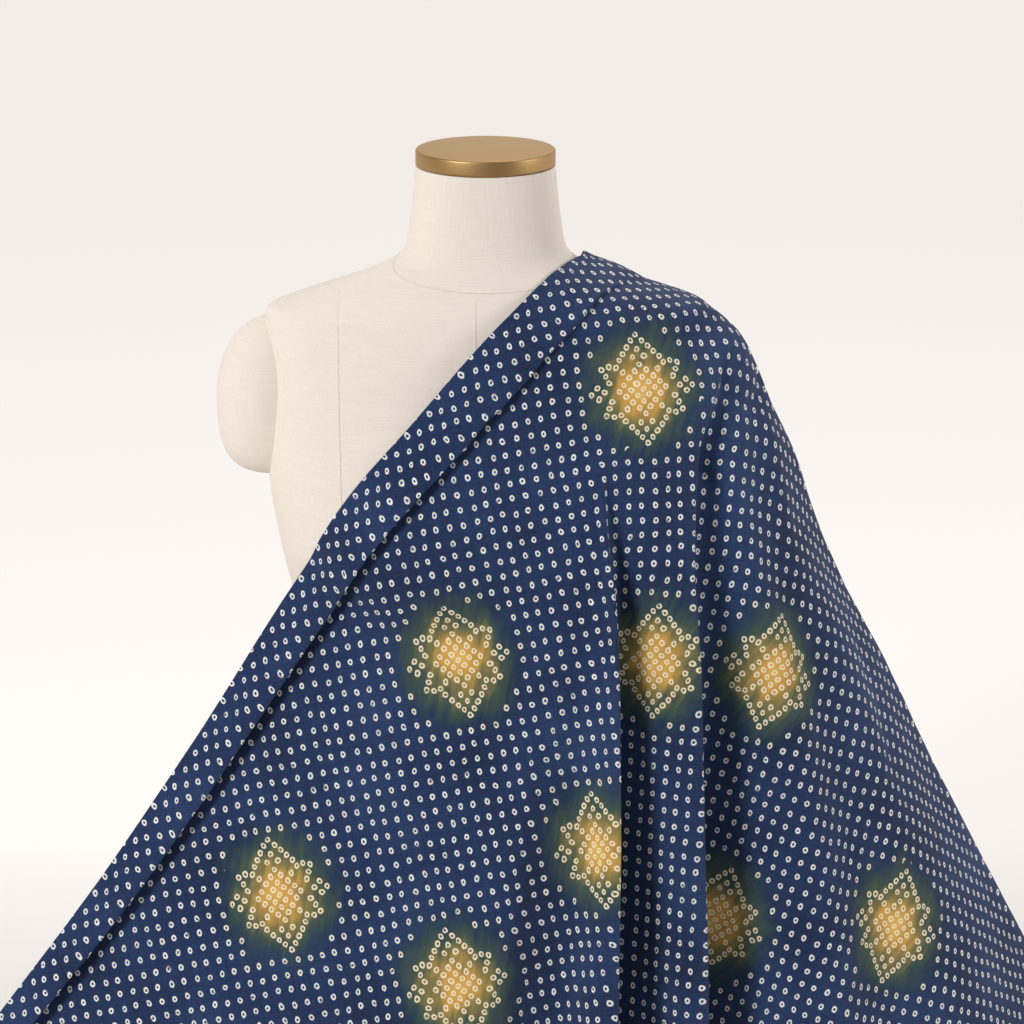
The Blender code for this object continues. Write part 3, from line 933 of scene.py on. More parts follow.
def form_ring(height: float, sides: int) -> list[tuple[float, float, float]]:
    """Works out the form's section at a height.

    Args:
        height: The section's height.
        sides: How many points go round.

    Returns:
        The section's points.
    """
    half_width = float(FORM["half_width"](height))
    power = 2 / float(FORM["squareness"](height))
    ring = []
    for k in range(sides):
        angle = 2 * math.pi * k / sides
        across, along = math.cos(angle), math.sin(angle)
        depth = float(FORM["back"](height) if along > 0 else FORM["front"](height))
        ring.append(
            (
                half_width * math.copysign(abs(across) ** power, across),
                depth * math.copysign(abs(along) ** power, along),
                height,
            )
        )
    return ring


@dataclass
class DressForm:
    """The padded, linen-covered form: its body, arm stumps, seams and neck cap."""

    linen: bpy.types.Material
    thread: bpy.types.Material
    brass: bpy.types.Material
    sides: int = 180
    body_rings: int = 90
    shoulder_rings: int = 80
    shoulder_start: float = 0.60
    cap_rim: float = 0.0016
    welt_radius: float = 0.0005
    stitch_pitch: float = 0.0024

    def body_shell(self) -> tuple[list[tuple[float, float, float]], list[tuple[int, ...]]]:
        """Works out the form's closed body.

        Returns:
            Its points and faces.
        """
        heights = [self.shoulder_start * k / self.body_rings for k in range(self.body_rings)]
        rise = (NECK_TOP - self.shoulder_start) / self.shoulder_rings
        heights += [self.shoulder_start + rise * k for k in range(self.shoulder_rings + 1)]
        points = [point for height in heights for point in form_ring(height, self.sides)]
        faces: list[tuple[int, ...]] = []
        for level in range(len(heights) - 1):
            low = level * self.sides
            high = low + self.sides
            for k in range(self.sides):
                after = (k + 1) % self.sides
                faces.append((low + k, low + after, high + after, high + k))
        top = (len(heights) - 1) * self.sides
        faces.append(tuple(reversed(range(self.sides))))
        faces.append(tuple(range(top, top + self.sides)))
        return points, faces

    def arm_shell(self, side: int) -> tuple[list[Vector], list[tuple[int, ...]]]:
        """Works out a rounded arm stump.

        Args:
            side: 1 for the viewer's right and -1 for the left.

        Returns:
            Its points and faces.
        """
        shell = bmesh.new()
        bmesh.ops.create_uvsphere(shell, u_segments=64, v_segments=40, radius=1.0)
        middle = Vector((side * ARM_CENTRE[0], ARM_CENTRE[1], ARM_CENTRE[2]))
        points = []
        for vertex in shell.verts:
            upper = vertex.co.z > 0
            power = 2 / (ARM_RISE_SQUARENESS if upper else ARM_FALL_SQUARENESS)
            across = math.hypot(vertex.co.x, vertex.co.y)
            fuller = across ** (power - 1) if across else 0.0
            height = math.copysign(abs(vertex.co.z) ** power, vertex.co.z)
            ways = (fuller * vertex.co.x, fuller * vertex.co.y, height)
            radii = (*ARM_RADII, ARM_RISE if upper else ARM_FALL)
            points.append(middle + Vector([radius * way for radius, way in zip(radii, ways)]))
        faces = [tuple(vertex.index for vertex in face.verts) for face in shell.faces]
        shell.free()
        return points, faces

    def trees(self) -> list[BVHTree]:
        """Makes the surfaces that the cloth and seams lie on."""
        shells = [self.body_shell(), self.arm_shell(-1), self.arm_shell(1)]
        return [BVHTree.FromPolygons(points, faces) for points, faces in shells]

    def build_body(self) -> bpy.types.Object:
        """Builds the body and dresses it in linen.

        Returns:
            The body, in place of its solid.
        """
        body = mesh_object("form_cover", *self.body_shell())
        body.data.materials.append(self.linen)
        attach(body, "root")
        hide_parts("form_body")
        return body

    def build_arms(self) -> list[bpy.types.Object]:
        """Builds both arm stumps.

        Returns:
            The stumps, in place of their solids.
        """
        arms = []
        for side, name in ((-1, "left"), (1, "right")):
            arm = mesh_object("arm_cover_" + name, *self.arm_shell(side))
            arm.data.materials.append(self.linen)
            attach(arm, "root")
            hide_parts("arm_" + name)
            arms.append(arm)
        return arms

    def build_cap(self) -> bpy.types.Object:
        """Turns the neck cap: a flat plate with a softly rounded rim.

        Returns:
            The cap, in place of its solid.
        """
        low = NECK_TOP + SEAM_GAP
        high = low + CAP_THICKNESS
        profile = [(0.0, low), (CAP_RADIUS - self.cap_rim, low)]
        for middle_z, first in ((low + self.cap_rim, -90), (high - self.cap_rim, 0)):
            for step in range(7):
                angle = math.radians(first + 15 * step)
                profile.append(
                    (
                        CAP_RADIUS - self.cap_rim + self.cap_rim * math.cos(angle),
                        middle_z + self.cap_rim * math.sin(angle),
                    )
                )
        profile.append((0.0, high))
        sides = 128
        points: list[tuple[float, float, float]] = []
        for radius, height in profile[1:-1]:
            for k in range(sides):
                angle = 2 * math.pi * k / sides
                points.append((radius * math.cos(angle), radius * math.sin(angle), height))
        faces: list[tuple[int, ...]] = []
        for level in range(len(profile) - 3):
            start = level * sides
            for k in range(sides):
                after = (k + 1) % sides
                over = start + sides
                faces.append((start + k, start + after, over + after, over + k))
        last = (len(profile) - 3) * sides
        faces.append(tuple(reversed(range(sides))))
        faces.append(tuple(range(last, last + sides)))
        cap = mesh_object("brass_cap", points, faces, 60.0)
        cap.data.materials.append(self.brass)
        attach(cap, "root")
        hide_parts("neck_cap")
        return cap

    def seam_routes(self) -> dict[str, list[tuple[float, float, float]]]:
        """Gives the seams of the cover as places just off its surface, to be laid on it.

        Returns:
            Each seam's points by its name.
        """
        low = 0.004
        front = [(-0.007, -0.3, z) for z in np.linspace(low, 0.654, 130)]
        back = [(0.0, 0.3, z) for z in np.linspace(low, 0.668, 130)]
        princess_x = smooth_curve((0.0, 0.3, 0.42, 0.52, 0.66), (0.105, 0.080, 0.100, 0.108, 0.111))
        routes = {"front": front, "back": back}
        for side, name in ((-1, "left"), (1, "right")):
            for face, y in (("front", -0.3), ("back", 0.3)):
                heights = np.linspace(low, 0.652, 130)
                routes[f"princess_{face}_{name}"] = [(side * float(princess_x(z)), y, z) for z in heights]
        neck = []
        for k in range(145):
            angle = math.pi * k / 72
            dip = 0.013 * max(0.0, -math.sin(angle))
            neck.append((0.3 * math.cos(angle), 0.3 * math.sin(angle), 0.673 - dip))
        routes["neck"] = neck
        return routes

    def laid(self, route: list[tuple[float, float, float]], trees: list[BVHTree]) -> list[Vector]:
        """Lays a seam's points on the cover, straight in towards the form's axis.

        Args:
            route: Points outside the form.
            trees: The cover's surfaces.

        Returns:
            The points on the cover.
        """
        on_cover = []
        for x, y, z in route:
            start = Vector((x, y, z))
            sideways = abs(x) < 0.2 and abs(y) == 0.3
            way = Vector((0.0, -y, 0.0)) if sideways else Vector((-x, -y, 0.0))
            hit, normal, _, _ = trees[0].ray_cast(start, way.normalized())
            if hit is not None:
                on_cover.append(hit + normal * self.welt_radius * 0.2)
        return on_cover

    def build_seams(self, trees: list[BVHTree]) -> bpy.types.Object:
        """Sews the seams: a row of stitches along each.

        Args:
            trees: The cover's surfaces.

        Returns:
            All the seams as one mesh.
        """
        points: list[Vector] = []
        edges: list[tuple[int, int]] = []
        for route in self.seam_routes().values():
            laid = self.laid(route, trees)
            first = len(points)
            points += laid
            edges += [(first + k, first + k + 1) for k in range(len(laid) - 1)]
        radius, pitch = self.welt_radius, self.stitch_pitch
        seams = sewn_line("form_seams", points, edges, radius, pitch, self.thread)
        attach(seams, "root")
        return seams


def sewn_line(
    name: str,
    points: Sequence[Vector],
    edges: Sequence[tuple[int, int]],
    radius: float,
    pitch: float,
    thread: bpy.types.Material,
) -> bpy.types.Object:
    """Makes a row of stitches along each chain of edges, by Geometry Nodes.

    Args:
        name: The new object's name.
        points: The chains' points.
        edges: The chains' edges.
        radius: Half a stitch's thickness.
        pitch: The distance from one stitch to the next.
        thread: The stitches' material.

    Returns:
        The stitches as a plain mesh.
    """
    mesh = bpy.data.meshes.new(name + "_route")
    mesh.from_pydata([tuple(point) for point in points], list(edges), [])
    route = bpy.data.objects.new(name + "_route", mesh)
    bpy.context.scene.collection.objects.link(route)
    tree = bpy.data.node_groups.new("stitches_" + name, "GeometryNodeTree")
    face = tree.interface
    face.new_socket("Geometry", in_out="INPUT", socket_type="NodeSocketGeometry")
    for socket_name, value in (("Stitch pitch", pitch), ("Stitch radius", radius)):
        socket = face.new_socket(socket_name, in_out="INPUT", socket_type="NodeSocketFloat")
        socket.default_value = value
    face.new_socket("Geometry", in_out="OUTPUT", socket_type="NodeSocketGeometry")
    given = add_node(tree, Kind.GIVEN, {}, {})
    step, thin = given.outputs["Stitch pitch"], given.outputs["Stitch radius"]
    curve = add_node(tree, Kind.CURVE, {}, {"Mesh": given.outputs["Geometry"]})
    spaced = add_node(tree, Kind.SPACED, {"mode": "LENGTH"}, {"Curve": curve, "Length": step})
    long_way = add_node(tree, Kind.MATH, {"operation": "MULTIPLY"}, {0: step, 1: 0.42})
    size = add_node(tree, Kind.JOIN, {}, {0: thin, 1: thin, 2: long_way})
    ball = add_node(tree, Kind.BALL, {}, {"Segments": 6, "Rings": 5, "Radius": 1.0})
    sewn = {
        "Points": spaced,
        "Instance": ball,
        "Rotation": spaced.outputs["Rotation"],
        "Scale": size,
    }
    placed = add_node(tree, Kind.PLACED, {}, sewn)
    real = add_node(tree, Kind.REAL, {}, {"Geometry": placed})
    smooth = add_node(tree, Kind.SMOOTH, {}, {"Geometry": real})
    spun = add_node(tree, Kind.MATERIAL, {}, {"Geometry": smooth, "Material": thread})
    add_node(tree, Kind.RESULT, {}, {"Geometry": spun})
    sewing = route.modifiers.new("stitches", "NODES")
    sewing.node_group = tree
    shown = route.evaluated_get(bpy.context.evaluated_depsgraph_get())
    result = bpy.data.meshes.new_from_object(shown)
    result.name = name
    made = bpy.data.objects.new(name, result)
    bpy.context.scene.collection.objects.link(made)
    route.modifiers.remove(sewing)
    bpy.data.objects.remove(route, do_unlink=True)
    return made


# The cloth


class Panel(Enum):
    """The two halves of the cloth, either side of the shoulder."""

    FRONT = "front"
    BACK = "back"


def fold_curves(line: FoldLine) -> tuple[Curve, Curve]:
    """Makes a fold line's two curves.

    Args:
        line: The fold line.

    Returns:
        Its share of the front's width and how far it stands out, by the drop's square root.
    """
    roots = [math.sqrt(drop) for drop in FOLD_DROPS]
    share = smooth_curve(roots, (line.crest, line.shoulder, line.chest, line.bust, line.hem))
    depths = (0.0, line.out_chest, line.out_bust, line.out_hem)
    return share, smooth_curve((0.0, roots[2], roots[3], roots[4]), depths)


FOLDS = {line.name: fold_curves(line) for line in FOLD_LINES}


def front_points(root: float) -> np.ndarray:
    """Works out where the fold lines cross the front of the cloth at one level.

    Args:
        root: The square root of the level's drop.

    Returns:
        A point for each fold line.
    """
    drop = root * root
    left_x, right_x = LEVEL["left_x"](root), LEVEL["right_x"](root)
    left_y, right_y = LEVEL["left_y"](root), LEVEL["right_y"](root)
    front_y = LEVEL["front_y"](root)
    full_share = FOLDS[FULLEST_LINE][0](root)
    points = []
    for line in FOLD_LINES:
        share_curve, out_curve = FOLDS[line.name]
        share = share_curve(root)
        if share < full_share:
            depth = left_y + (front_y - left_y) * share / full_share
        else:
            past = min(1.0, (share - full_share) / (1 - full_share))
            bulge = (1 - past**SIDE_ROUNDNESS) ** (1 / SIDE_ROUNDNESS)
            depth = right_y + (front_y - right_y) * bulge
        height = CREST_LINE["height"](line.crest) * (1 - drop)
        across = left_x + (right_x - left_x) * share
        if drop == 0:
            across = CREST_LINE["x"](line.crest)
        points.append((across, depth - out_curve(root), height))
    return np.array(points)


def through(points: np.ndarray, steps: Sequence[int]) -> np.ndarray:
    """Draws a centripetal Catmull-Rom curve through points.

    Args:
        points: The points that it passes.
        steps: How many steps each span takes.

    Returns:
        The curve's points.
    """
    padded = np.vstack([2 * points[0] - points[1], points, 2 * points[-1] - points[-2]])
    curve = []
    for k, count in enumerate(steps):
        a, b, c, d = padded[k : k + 4]
        near = max(np.linalg.norm(b - a), 1e-6) ** 0.5
        span = max(np.linalg.norm(c - b), 1e-6) ** 0.5
        far = max(np.linalg.norm(d - c), 1e-6) ** 0.5
        leaving = ((b - a) / near - (c - a) / (near + span) + (c - b) / span) * span
        arriving = ((c - b) / span - (d - b) / (span + far) + (d - c) / far) * span
        for step in range(count):
            t = step / count
            curve.append(
                (2 * t**3 - 3 * t**2 + 1) * b
                + (t**3 - 2 * t**2 + t) * leaving
                + (3 * t**2 - 2 * t**3) * c
                + (t**3 - t**2) * arriving
            )
    curve.append(points[-1])
    return np.array(curve)


def column_values(values: Sequence[float], step_scale: int) -> np.ndarray:
    """Works out a value for each column of the front from one for each fold line.

    Args:
        values: The fold lines' values.
        step_scale: How many times finer the columns are than the fold lines' own steps.

    Returns:
        The columns' values.
    """
    spread: list[float] = []
    for line, before, after in zip(FOLD_LINES, values, values[1:]):
        count = line.steps * step_scale
        spread += [before + (after - before) * step / count for step in range(count)]
    return np.array(spread + [values[-1]])


def back_points(root: float, crest: np.ndarray) -> np.ndarray:
    """Works out the back of the cloth at one level.

    Args:
        root: The square root of the level's drop.
        crest: Each column's place along the crest line.

    Returns:
        A point for each column.
    """
    drop = root * root
    even = np.linspace(0.0, 1.0, len(crest))
    share = crest + (even - crest) * min(1.0, drop / 0.3)
    tail_x, right_x = LEVEL["tail_x"](root), LEVEL["right_x"](root)
    tail_y, right_y = LEVEL["tail_y"](root), LEVEL["right_y"](root)
    back_y = LEVEL["back_y"](root)
    past = np.clip((share - BACK_FULL_SHARE) / (1 - BACK_FULL_SHARE), 0.0, 1.0)
    bulge = (1 - past**SIDE_ROUNDNESS) ** (1 / SIDE_ROUNDNESS)
    near_tail = np.clip(1 - share / BACK_FULL_SHARE, 0.0, 1.0)
    depth = right_y + (back_y + (tail_y - back_y) * near_tail - right_y) * bulge
    wave = np.sin(2 * math.pi * BACK_FOLDS * share + BACK_FOLD_PHASE)
    depth = depth + BACK_FOLD_DEPTH * drop * wave * np.sin(math.pi * np.clip(share, 0, 1)) ** 0.5
    height = CREST_LINE["height"](crest) * (1 - drop)
    return np.column_stack([tail_x + (right_x - tail_x) * share, depth, height])


@dataclass
class Sheet:
    """The cloth's middle surface as two grids that share the crest row and the side column."""

    points: np.ndarray
    faces: np.ndarray
    grids: dict[Panel, np.ndarray]
    lifts: np.ndarray

    @classmethod
    def draped(cls, roots: np.ndarray, step_scale: int) -> Sheet:
        """Works out the sheet from the tables.

        Args:
            roots: The square root of each row's drop.
            step_scale: How many times finer the columns are than the fold lines' own steps.

        Returns:
            The sheet, before it is rested on the form.
        """
        steps = [line.steps * step_scale for line in FOLD_LINES[:-1]]
        front = np.array([through(front_points(root), steps) for root in roots])
        crest = column_values([line.crest for line in FOLD_LINES], step_scale)
        back = np.array([back_points(root, crest) for root in roots])
        levels, across = front.shape[:2]
        front_index = np.arange(levels * across).reshape(levels, across)
        back_index = np.empty_like(front_index)
        back_index[0] = front_index[0]
        back_index[:, -1] = front_index[:, -1]
        own = front_index.size + np.arange((levels - 1) * (across - 1))
        back_index[1:, :-1] = own.reshape(levels - 1, across - 1)
        points = np.vstack([front.reshape(-1, 3), back[1:, :-1].reshape(-1, 3)])
        f, b = front_index, back_index
        front_faces = np.stack([f[:-1, :-1], f[1:, :-1], f[1:, 1:], f[:-1, 1:]], axis=-1)
        back_faces = np.stack([b[:-1, :-1], b[:-1, 1:], b[1:, 1:], b[1:, :-1]], axis=-1)
        faces = np.vstack([front_faces.reshape(-1, 4), back_faces.reshape(-1, 4)])
        lifts = np.zeros(len(points))
        for row, root in zip(f, roots):
            outs = column_values([FOLDS[line.name][1](root) for line in FOLD_LINES], step_scale)
            lifts[row] = np.maximum(outs, 0.0)
        return cls(points, faces, {Panel.FRONT: f, Panel.BACK: b}, lifts)

    @property
    def hem(self) -> np.ndarray:
        """The numbers of the points that stand on the table."""
        return np.concatenate([self.grids[Panel.FRONT][-1], self.grids[Panel.BACK][-1, :-1]])

    def neighbours(self) -> tuple[np.ndarray, np.ndarray]:
        """Lists the sheet's edges, each once, as two arrays of point numbers."""
        pairs = np.vstack([self.faces[:, [k, (k + 1) % 4]] for k in range(4)])
        unique = np.unique(np.sort(pairs, axis=1), axis=0)
        return unique[:, 0], unique[:, 1]

    def normals(self) -> np.ndarray:
        """Works out the mean outward direction at each point, level along the hem.

        Returns:
            A unit vector for each point.
        """
        a, b, c, d = (self.points[self.faces[:, k]] for k in range(4))
        turn = np.cross(c - a, d - b)
        total = np.zeros_like(self.points)
        for k in range(4):
            np.add.at(total, self.faces[:, k], turn)
        total[self.hem, 2] = 0.0
        return total / np.linalg.norm(total, axis=1)[:, None]

    def eased(self, amount: np.ndarray) -> None:
        """Moves each point towards the mean of its neighbours.

        Args:
            amount: How far each point goes, from 0 to 1.
        """
        start, end = self.neighbours()
        count = np.bincount(np.concatenate([start, end]), minlength=len(self.points))
        total = np.zeros_like(self.points)
        np.add.at(total, start, self.points[end])
        np.add.at(total, end, self.points[start])
        self.points = self.points + (total / count[:, None] - self.points) * amount[:, None]

    def kept_clear(self, trees: Sequence[BVHTree], clearance: float) -> None:
        """Moves out each point that is inside the form or too near it.

        Args:
            trees: The form's surfaces.
            clearance: The least distance from them, to which a point's own lift is added.
        """
        for k in np.nonzero(self.points[:, 2] > 0.30)[0]:
            place = Vector(self.points[k])
            least = clearance + self.lifts[k]
            for tree in trees:
                near, normal, _, distance = tree.find_nearest(place)
                if (place - near).dot(normal) < 0 or distance < least:
                    place = near + normal * least
            self.points[k] = place


@dataclass
class FlatCloth:
    """The cloth laid out flat again: each point's place on it, in metres."""

    places: np.ndarray

    @classmethod
    def unfolded(cls, sheet: Sheet, grain_turn: float) -> FlatCloth:
        """Lays a draped sheet out flat with as little stretch as can be.

        Args:
            sheet: The draped sheet.
            grain_turn: How far the threads are turned at the middle of the front, in radians.

        Returns:
            The flat cloth, at its true size.
        """
        shape = mesh_object("cloth_layout", sheet.points, sheet.faces.tolist())
        mesh = shape.data
        mesh.uv_layers.new(name="flat")
        bpy.context.view_layer.objects.active = shape
        shape.select_set(True)
        bpy.ops.object.mode_set(mode="EDIT")
        bpy.ops.mesh.select_all(action="SELECT")
        bpy.ops.uv.unwrap(method="MINIMUM_STRETCH", fill_holes=False, margin=0.0)
        bpy.ops.object.mode_set(mode="OBJECT")
        corners = np.empty(len(mesh.loops) * 2)
        mesh.uv_layers["flat"].data.foreach_get("uv", corners)
        numbers = np.empty(len(mesh.loops), int)
        mesh.loops.foreach_get("vertex_index", numbers)
        places = np.zeros((len(sheet.points), 2))
        places[numbers] = corners.reshape(-1, 2)
        real = sum(polygon.area for polygon in mesh.polygons)
        bpy.data.objects.remove(shape, do_unlink=True)
        bpy.data.meshes.remove(mesh)
        flat = cls(places)
        flat.places *= math.sqrt(real / abs(flat.area(sheet.faces)))
        if flat.area(sheet.faces) < 0:
            flat.places[:, 0] *= -1
        flat.turn_to(sheet, grain_turn)
        return flat

    def area(self, faces: np.ndarray) -> float:
        """Measures the flat area.

        Args:
            faces: The sheet's faces.

        Returns:
            Square metres, below zero if the layout is the wrong way round.
        """
        a, b, c, d = (self.places[faces[:, k]] for k in range(4))
        first, second = c - a, d - b
        return float(np.sum(first[:, 0] * second[:, 1] - first[:, 1] * second[:, 0]) / 2)

    def turn_to(self, sheet: Sheet, grain_turn: float) -> None:
        """Turns the layout so that the threads run as they do at the middle of the front.

        Args:
            sheet: The draped sheet.
            grain_turn: How far they are turned there, in radians.
        """
        front = sheet.grids[Panel.FRONT]
        rows, columns = front.shape
        near = front[rows * 2 // 3 : rows * 5 // 6, columns // 4 : columns // 3].ravel()
        drawn = sheet.points[near][:, [0, 2]]
        drawn = drawn - drawn.mean(axis=0)
        laid = self.places[near] - self.places[near].mean(axis=0)
        cosine = np.sum(laid * drawn)
        sine = np.sum(laid[:, 0] * drawn[:, 1] - laid[:, 1] * drawn[:, 0])
        angle = math.atan2(sine, cosine) - grain_turn
        turn = np.array([[math.cos(angle), math.sin(angle)], [-math.sin(angle), math.cos(angle)]])
        self.places = self.places @ turn

    def size(self) -> tuple[float, float]:
        """Measures the rectangle that the cloth was cut from."""
        width, length = self.places.max(axis=0) - self.places.min(axis=0)
        return float(width), float(length)

    def finer(self, coarse: Sheet, fine: Sheet, roots: np.ndarray, fine_roots: np.ndarray) -> FlatCloth:
        """Reads the layout at the points of a finer sheet.

        Args:
            coarse: The sheet that was laid out.
            fine: The finer sheet.
            roots: The coarse rows' square-rooted drops.
            fine_roots: The fine rows' square-rooted drops.

        Returns:
            The finer layout.
        """
        places = np.zeros((len(fine.points), 2))
        for panel in Panel:
            grid, fine_grid = coarse.grids[panel], fine.grids[panel]
            columns = np.linspace(0, grid.shape[1] - 1, fine_grid.shape[1])
            for axis in range(2):
                values = self.places[grid][:, :, axis]
                by_column = cubic_read(values, columns)
                rows = np.interp(fine_roots, roots, np.arange(len(roots)))
                places[fine_grid, axis] = cubic_read(by_column.T, rows).T
        return FlatCloth(places)


def cubic_read(values: np.ndarray, places: np.ndarray) -> np.ndarray:
    """Reads the columns of a grid between its columns, on a smooth cubic.

    Args:
        values: The grid.
        places: Where to read it, in columns.

    Returns:
        The grid with a column for each place.
    """
    count = values.shape[1]
    low = np.clip(np.floor(places).astype(int), 0, count - 2)
    t = places - low
    before = values[:, np.clip(low - 1, 0, count - 1)]
    start, end = values[:, low], values[:, low + 1]
    beyond = values[:, np.clip(low + 2, 0, count - 1)]
    return start + 0.5 * t * (
        end
        - before
        + t * (2 * before - 5 * start + 4 * end - beyond + t * (3 * (start - end) + beyond - before))
    )


@dataclass
class DrapedCloth:
    """The printed cloth in its folds, with its turned edge, creases, hem and stitches."""

    cotton: bpy.types.Material
    thread: bpy.types.Material
    camera: bpy.types.Object
    trees: list[BVHTree]
    step_scale: int = 4
    rows: int = 100
    coarse_rows: int = 27
    row_spread: float = 0.88
    thickness: float = 0.0008
    clearance: float = 0.0016
    edge_extra: float = 0.0012
    edge_reach: float = 0.006
    settle_passes: int = 60
    settle_reach: float = 0.07
    grain_turn: float = math.radians(13.0)
    column_repeat: float = 0.168
    drop_repeat: float = 0.312
    least_apart: float = 0.135
    far_away: float = 9.0
    wrinkle_height: float = 0.0011
    hem_stitch_rise: float = 0.014
    stitch_pitch: float = 0.0042
    stitch_radius: float = 0.00045

    def settle(self, sheet: Sheet, passes: int) -> None:
        """Rests a sheet on the form and eases it over the shoulder.

        Args:
            sheet: The sheet, whose points move.
            passes: How many times it is eased.
        """
        start, end = sheet.neighbours()
        count = np.bincount(np.concatenate([start, end]), minlength=len(sheet.points))
        high = CREST[0].height
        sheet.kept_clear(self.trees, self.clearance)
        for k in range(passes):
            ease = np.clip((sheet.points[:, 2] - (high - self.settle_reach)) / self.settle_reach, 0, 1)
            ease[count < 4] = 0.0
            ease[sheet.hem] = 0.0
            sheet.eased(ease * 0.5)
            if k % 10 == 9:
                sheet.kept_clear(self.trees, self.clearance)
        sheet.kept_clear(self.trees, self.clearance)
        sheet.points[sheet.hem, 2] = 0.0

    def seen_at(self, tree: BVHTree, pixel: tuple[float, float]) -> tuple[Vector | None, int]:
        """Finds what the camera sees at a pixel of the photograph.

        Args:
            tree: The cloth's surface.
            pixel: The place in the photograph.

        Returns:
            The point there and its face's number, or None and -1 if the cloth isn't there.
        """
        focal = LENS_MM / SENSOR_MM * FRAME_PIXELS
        middle = FRAME_PIXELS / 2
        way = Vector((pixel[0] - middle, middle - pixel[1], -focal)).normalized()
        way = self.camera.matrix_world.to_3x3() @ way
        hit, _, face, _ = tree.ray_cast(self.camera.matrix_world.translation, way)
        return hit, -1 if hit is None else face

    def flat_place(
        self, sheet: Sheet, flat: FlatCloth, tree: BVHTree, pixel: tuple[float, float]
    ) -> np.ndarray | None:
        """Finds where on the flat cloth a pixel of the photograph falls.

        Args:
            sheet: The draped sheet.
            flat: Its layout.
            tree: The sheet's surface.
            pixel: The place in the photograph.

        Returns:
            The flat place, or None where there is no cloth.
        """
        hit, face = self.seen_at(tree, pixel)
        if hit is None:
            return None
        corners = sheet.faces[face]
        away = np.linalg.norm(sheet.points[corners] - np.array(hit), axis=1) + 1e-6
        weights = (1 / away) / np.sum(1 / away)
        return weights @ flat.places[corners]

    def medallions(self, sheet: Sheet, flat: FlatCloth, tree: BVHTree) -> np.ndarray:
        """Places the medallions: those that the photograph shows, then the repeat elsewhere.

        Args:
            sheet: The draped sheet.
            flat: Its layout.
            tree: The sheet's surface.

        Returns:
            Each medallion's middle on the flat cloth.
        """
        found = [self.flat_place(sheet, flat, tree, pixel) for pixel in MEDALLION_PLACES]
        middles = [place for place in found if place is not None]
        start = middles[0]
        low, high = flat.places.min(axis=0), flat.places.max(axis=0)
        first = int((low[0] - start[0]) / self.column_repeat) - 1
        last = int((high[0] - start[0]) / self.column_repeat) + 1
        for column in range(first, last + 1):
            shift = self.drop_repeat / 2 * (column % 2)
            lowest = int((low[1] - start[1]) / self.drop_repeat) - 2
            highest = int((high[1] - start[1]) / self.drop_repeat) + 2
            for level in range(lowest, highest + 1):
                place = start + (column * self.column_repeat, level * self.drop_repeat + shift)
                if min(np.linalg.norm(place - other) for other in middles) > self.least_apart:
                    middles.append(place)
        return np.array(middles)

    def crease(self, sheet: Sheet, flat: FlatCloth, tree: BVHTree) -> None:
        """Presses the creases and fine wrinkles into the sheet.

        Args:
            sheet: The draped sheet, whose points move.
            flat: Its layout.
            tree: The sheet's surface before the creases.
        """
        height = np.zeros(len(sheet.points))
        front = np.zeros(len(sheet.points), bool)
        front[sheet.grids[Panel.FRONT].ravel()] = True
        for crease in CREASES:
            start = self.flat_place(sheet, flat, tree, crease.start)
            end = self.flat_place(sheet, flat, tree, crease.end)
            if start is None or end is None:
                LOG.info("crease %s misses the cloth", crease)
                continue
            along = end - start
            length = np.linalg.norm(along)
            way = along / length
            from_start = flat.places - start
            share = np.clip(from_start @ way / length, -0.2, 1.2)
            off = from_start - np.clip(from_start @ way, 0, length)[:, None] * way
            distance = np.linalg.norm(off, axis=1)
            taper = np.clip(np.sin(math.pi * np.clip(share, 0, 1)), 0, 1) ** 0.5
            height += crease.height * taper * np.exp(-((distance / crease.width) ** 2)) * front
        for k, (u, v) in enumerate(flat.places):
            broad = noise.noise(Vector((u * 14.0, v * 5.0, 0.3)))
            fine = noise.noise(Vector((u * 46.0, v * 17.0, 7.1)))
            height[k] += self.wrinkle_height * (broad + 0.45 * fine)
        fade = np.clip(sheet.points[:, 2] / 0.02, 0.0, 1.0)
        sheet.points = sheet.points + sheet.normals() * (height * fade)[:, None]
        sheet.points[sheet.hem, 2] = 0.0

    def edge_thickness(self, sheet: Sheet, flat: FlatCloth) -> np.ndarray:
        """Thickens the sheet along its hemmed edges.

        Args:
            sheet: The draped sheet.
            flat: Its layout.

        Returns:
            The thickness at each point.
        """
        edges = [
            sheet.grids[Panel.FRONT][:, 0],
            sheet.grids[Panel.BACK][:, 0],
            sheet.grids[Panel.FRONT][-1],
            sheet.grids[Panel.BACK][-1],
        ]
        rim = flat.places[np.concatenate(edges)]
        nearest = np.full(len(flat.places), self.far_away)
        for chunk in np.array_split(rim, 12):
            away = np.linalg.norm(flat.places[:, None] - chunk[None], axis=2)
            nearest = np.minimum(nearest, away.min(axis=1))
        share = np.clip(1.5 - nearest / self.edge_reach, 0.0, 1.0)
        return self.thickness + self.edge_extra * share

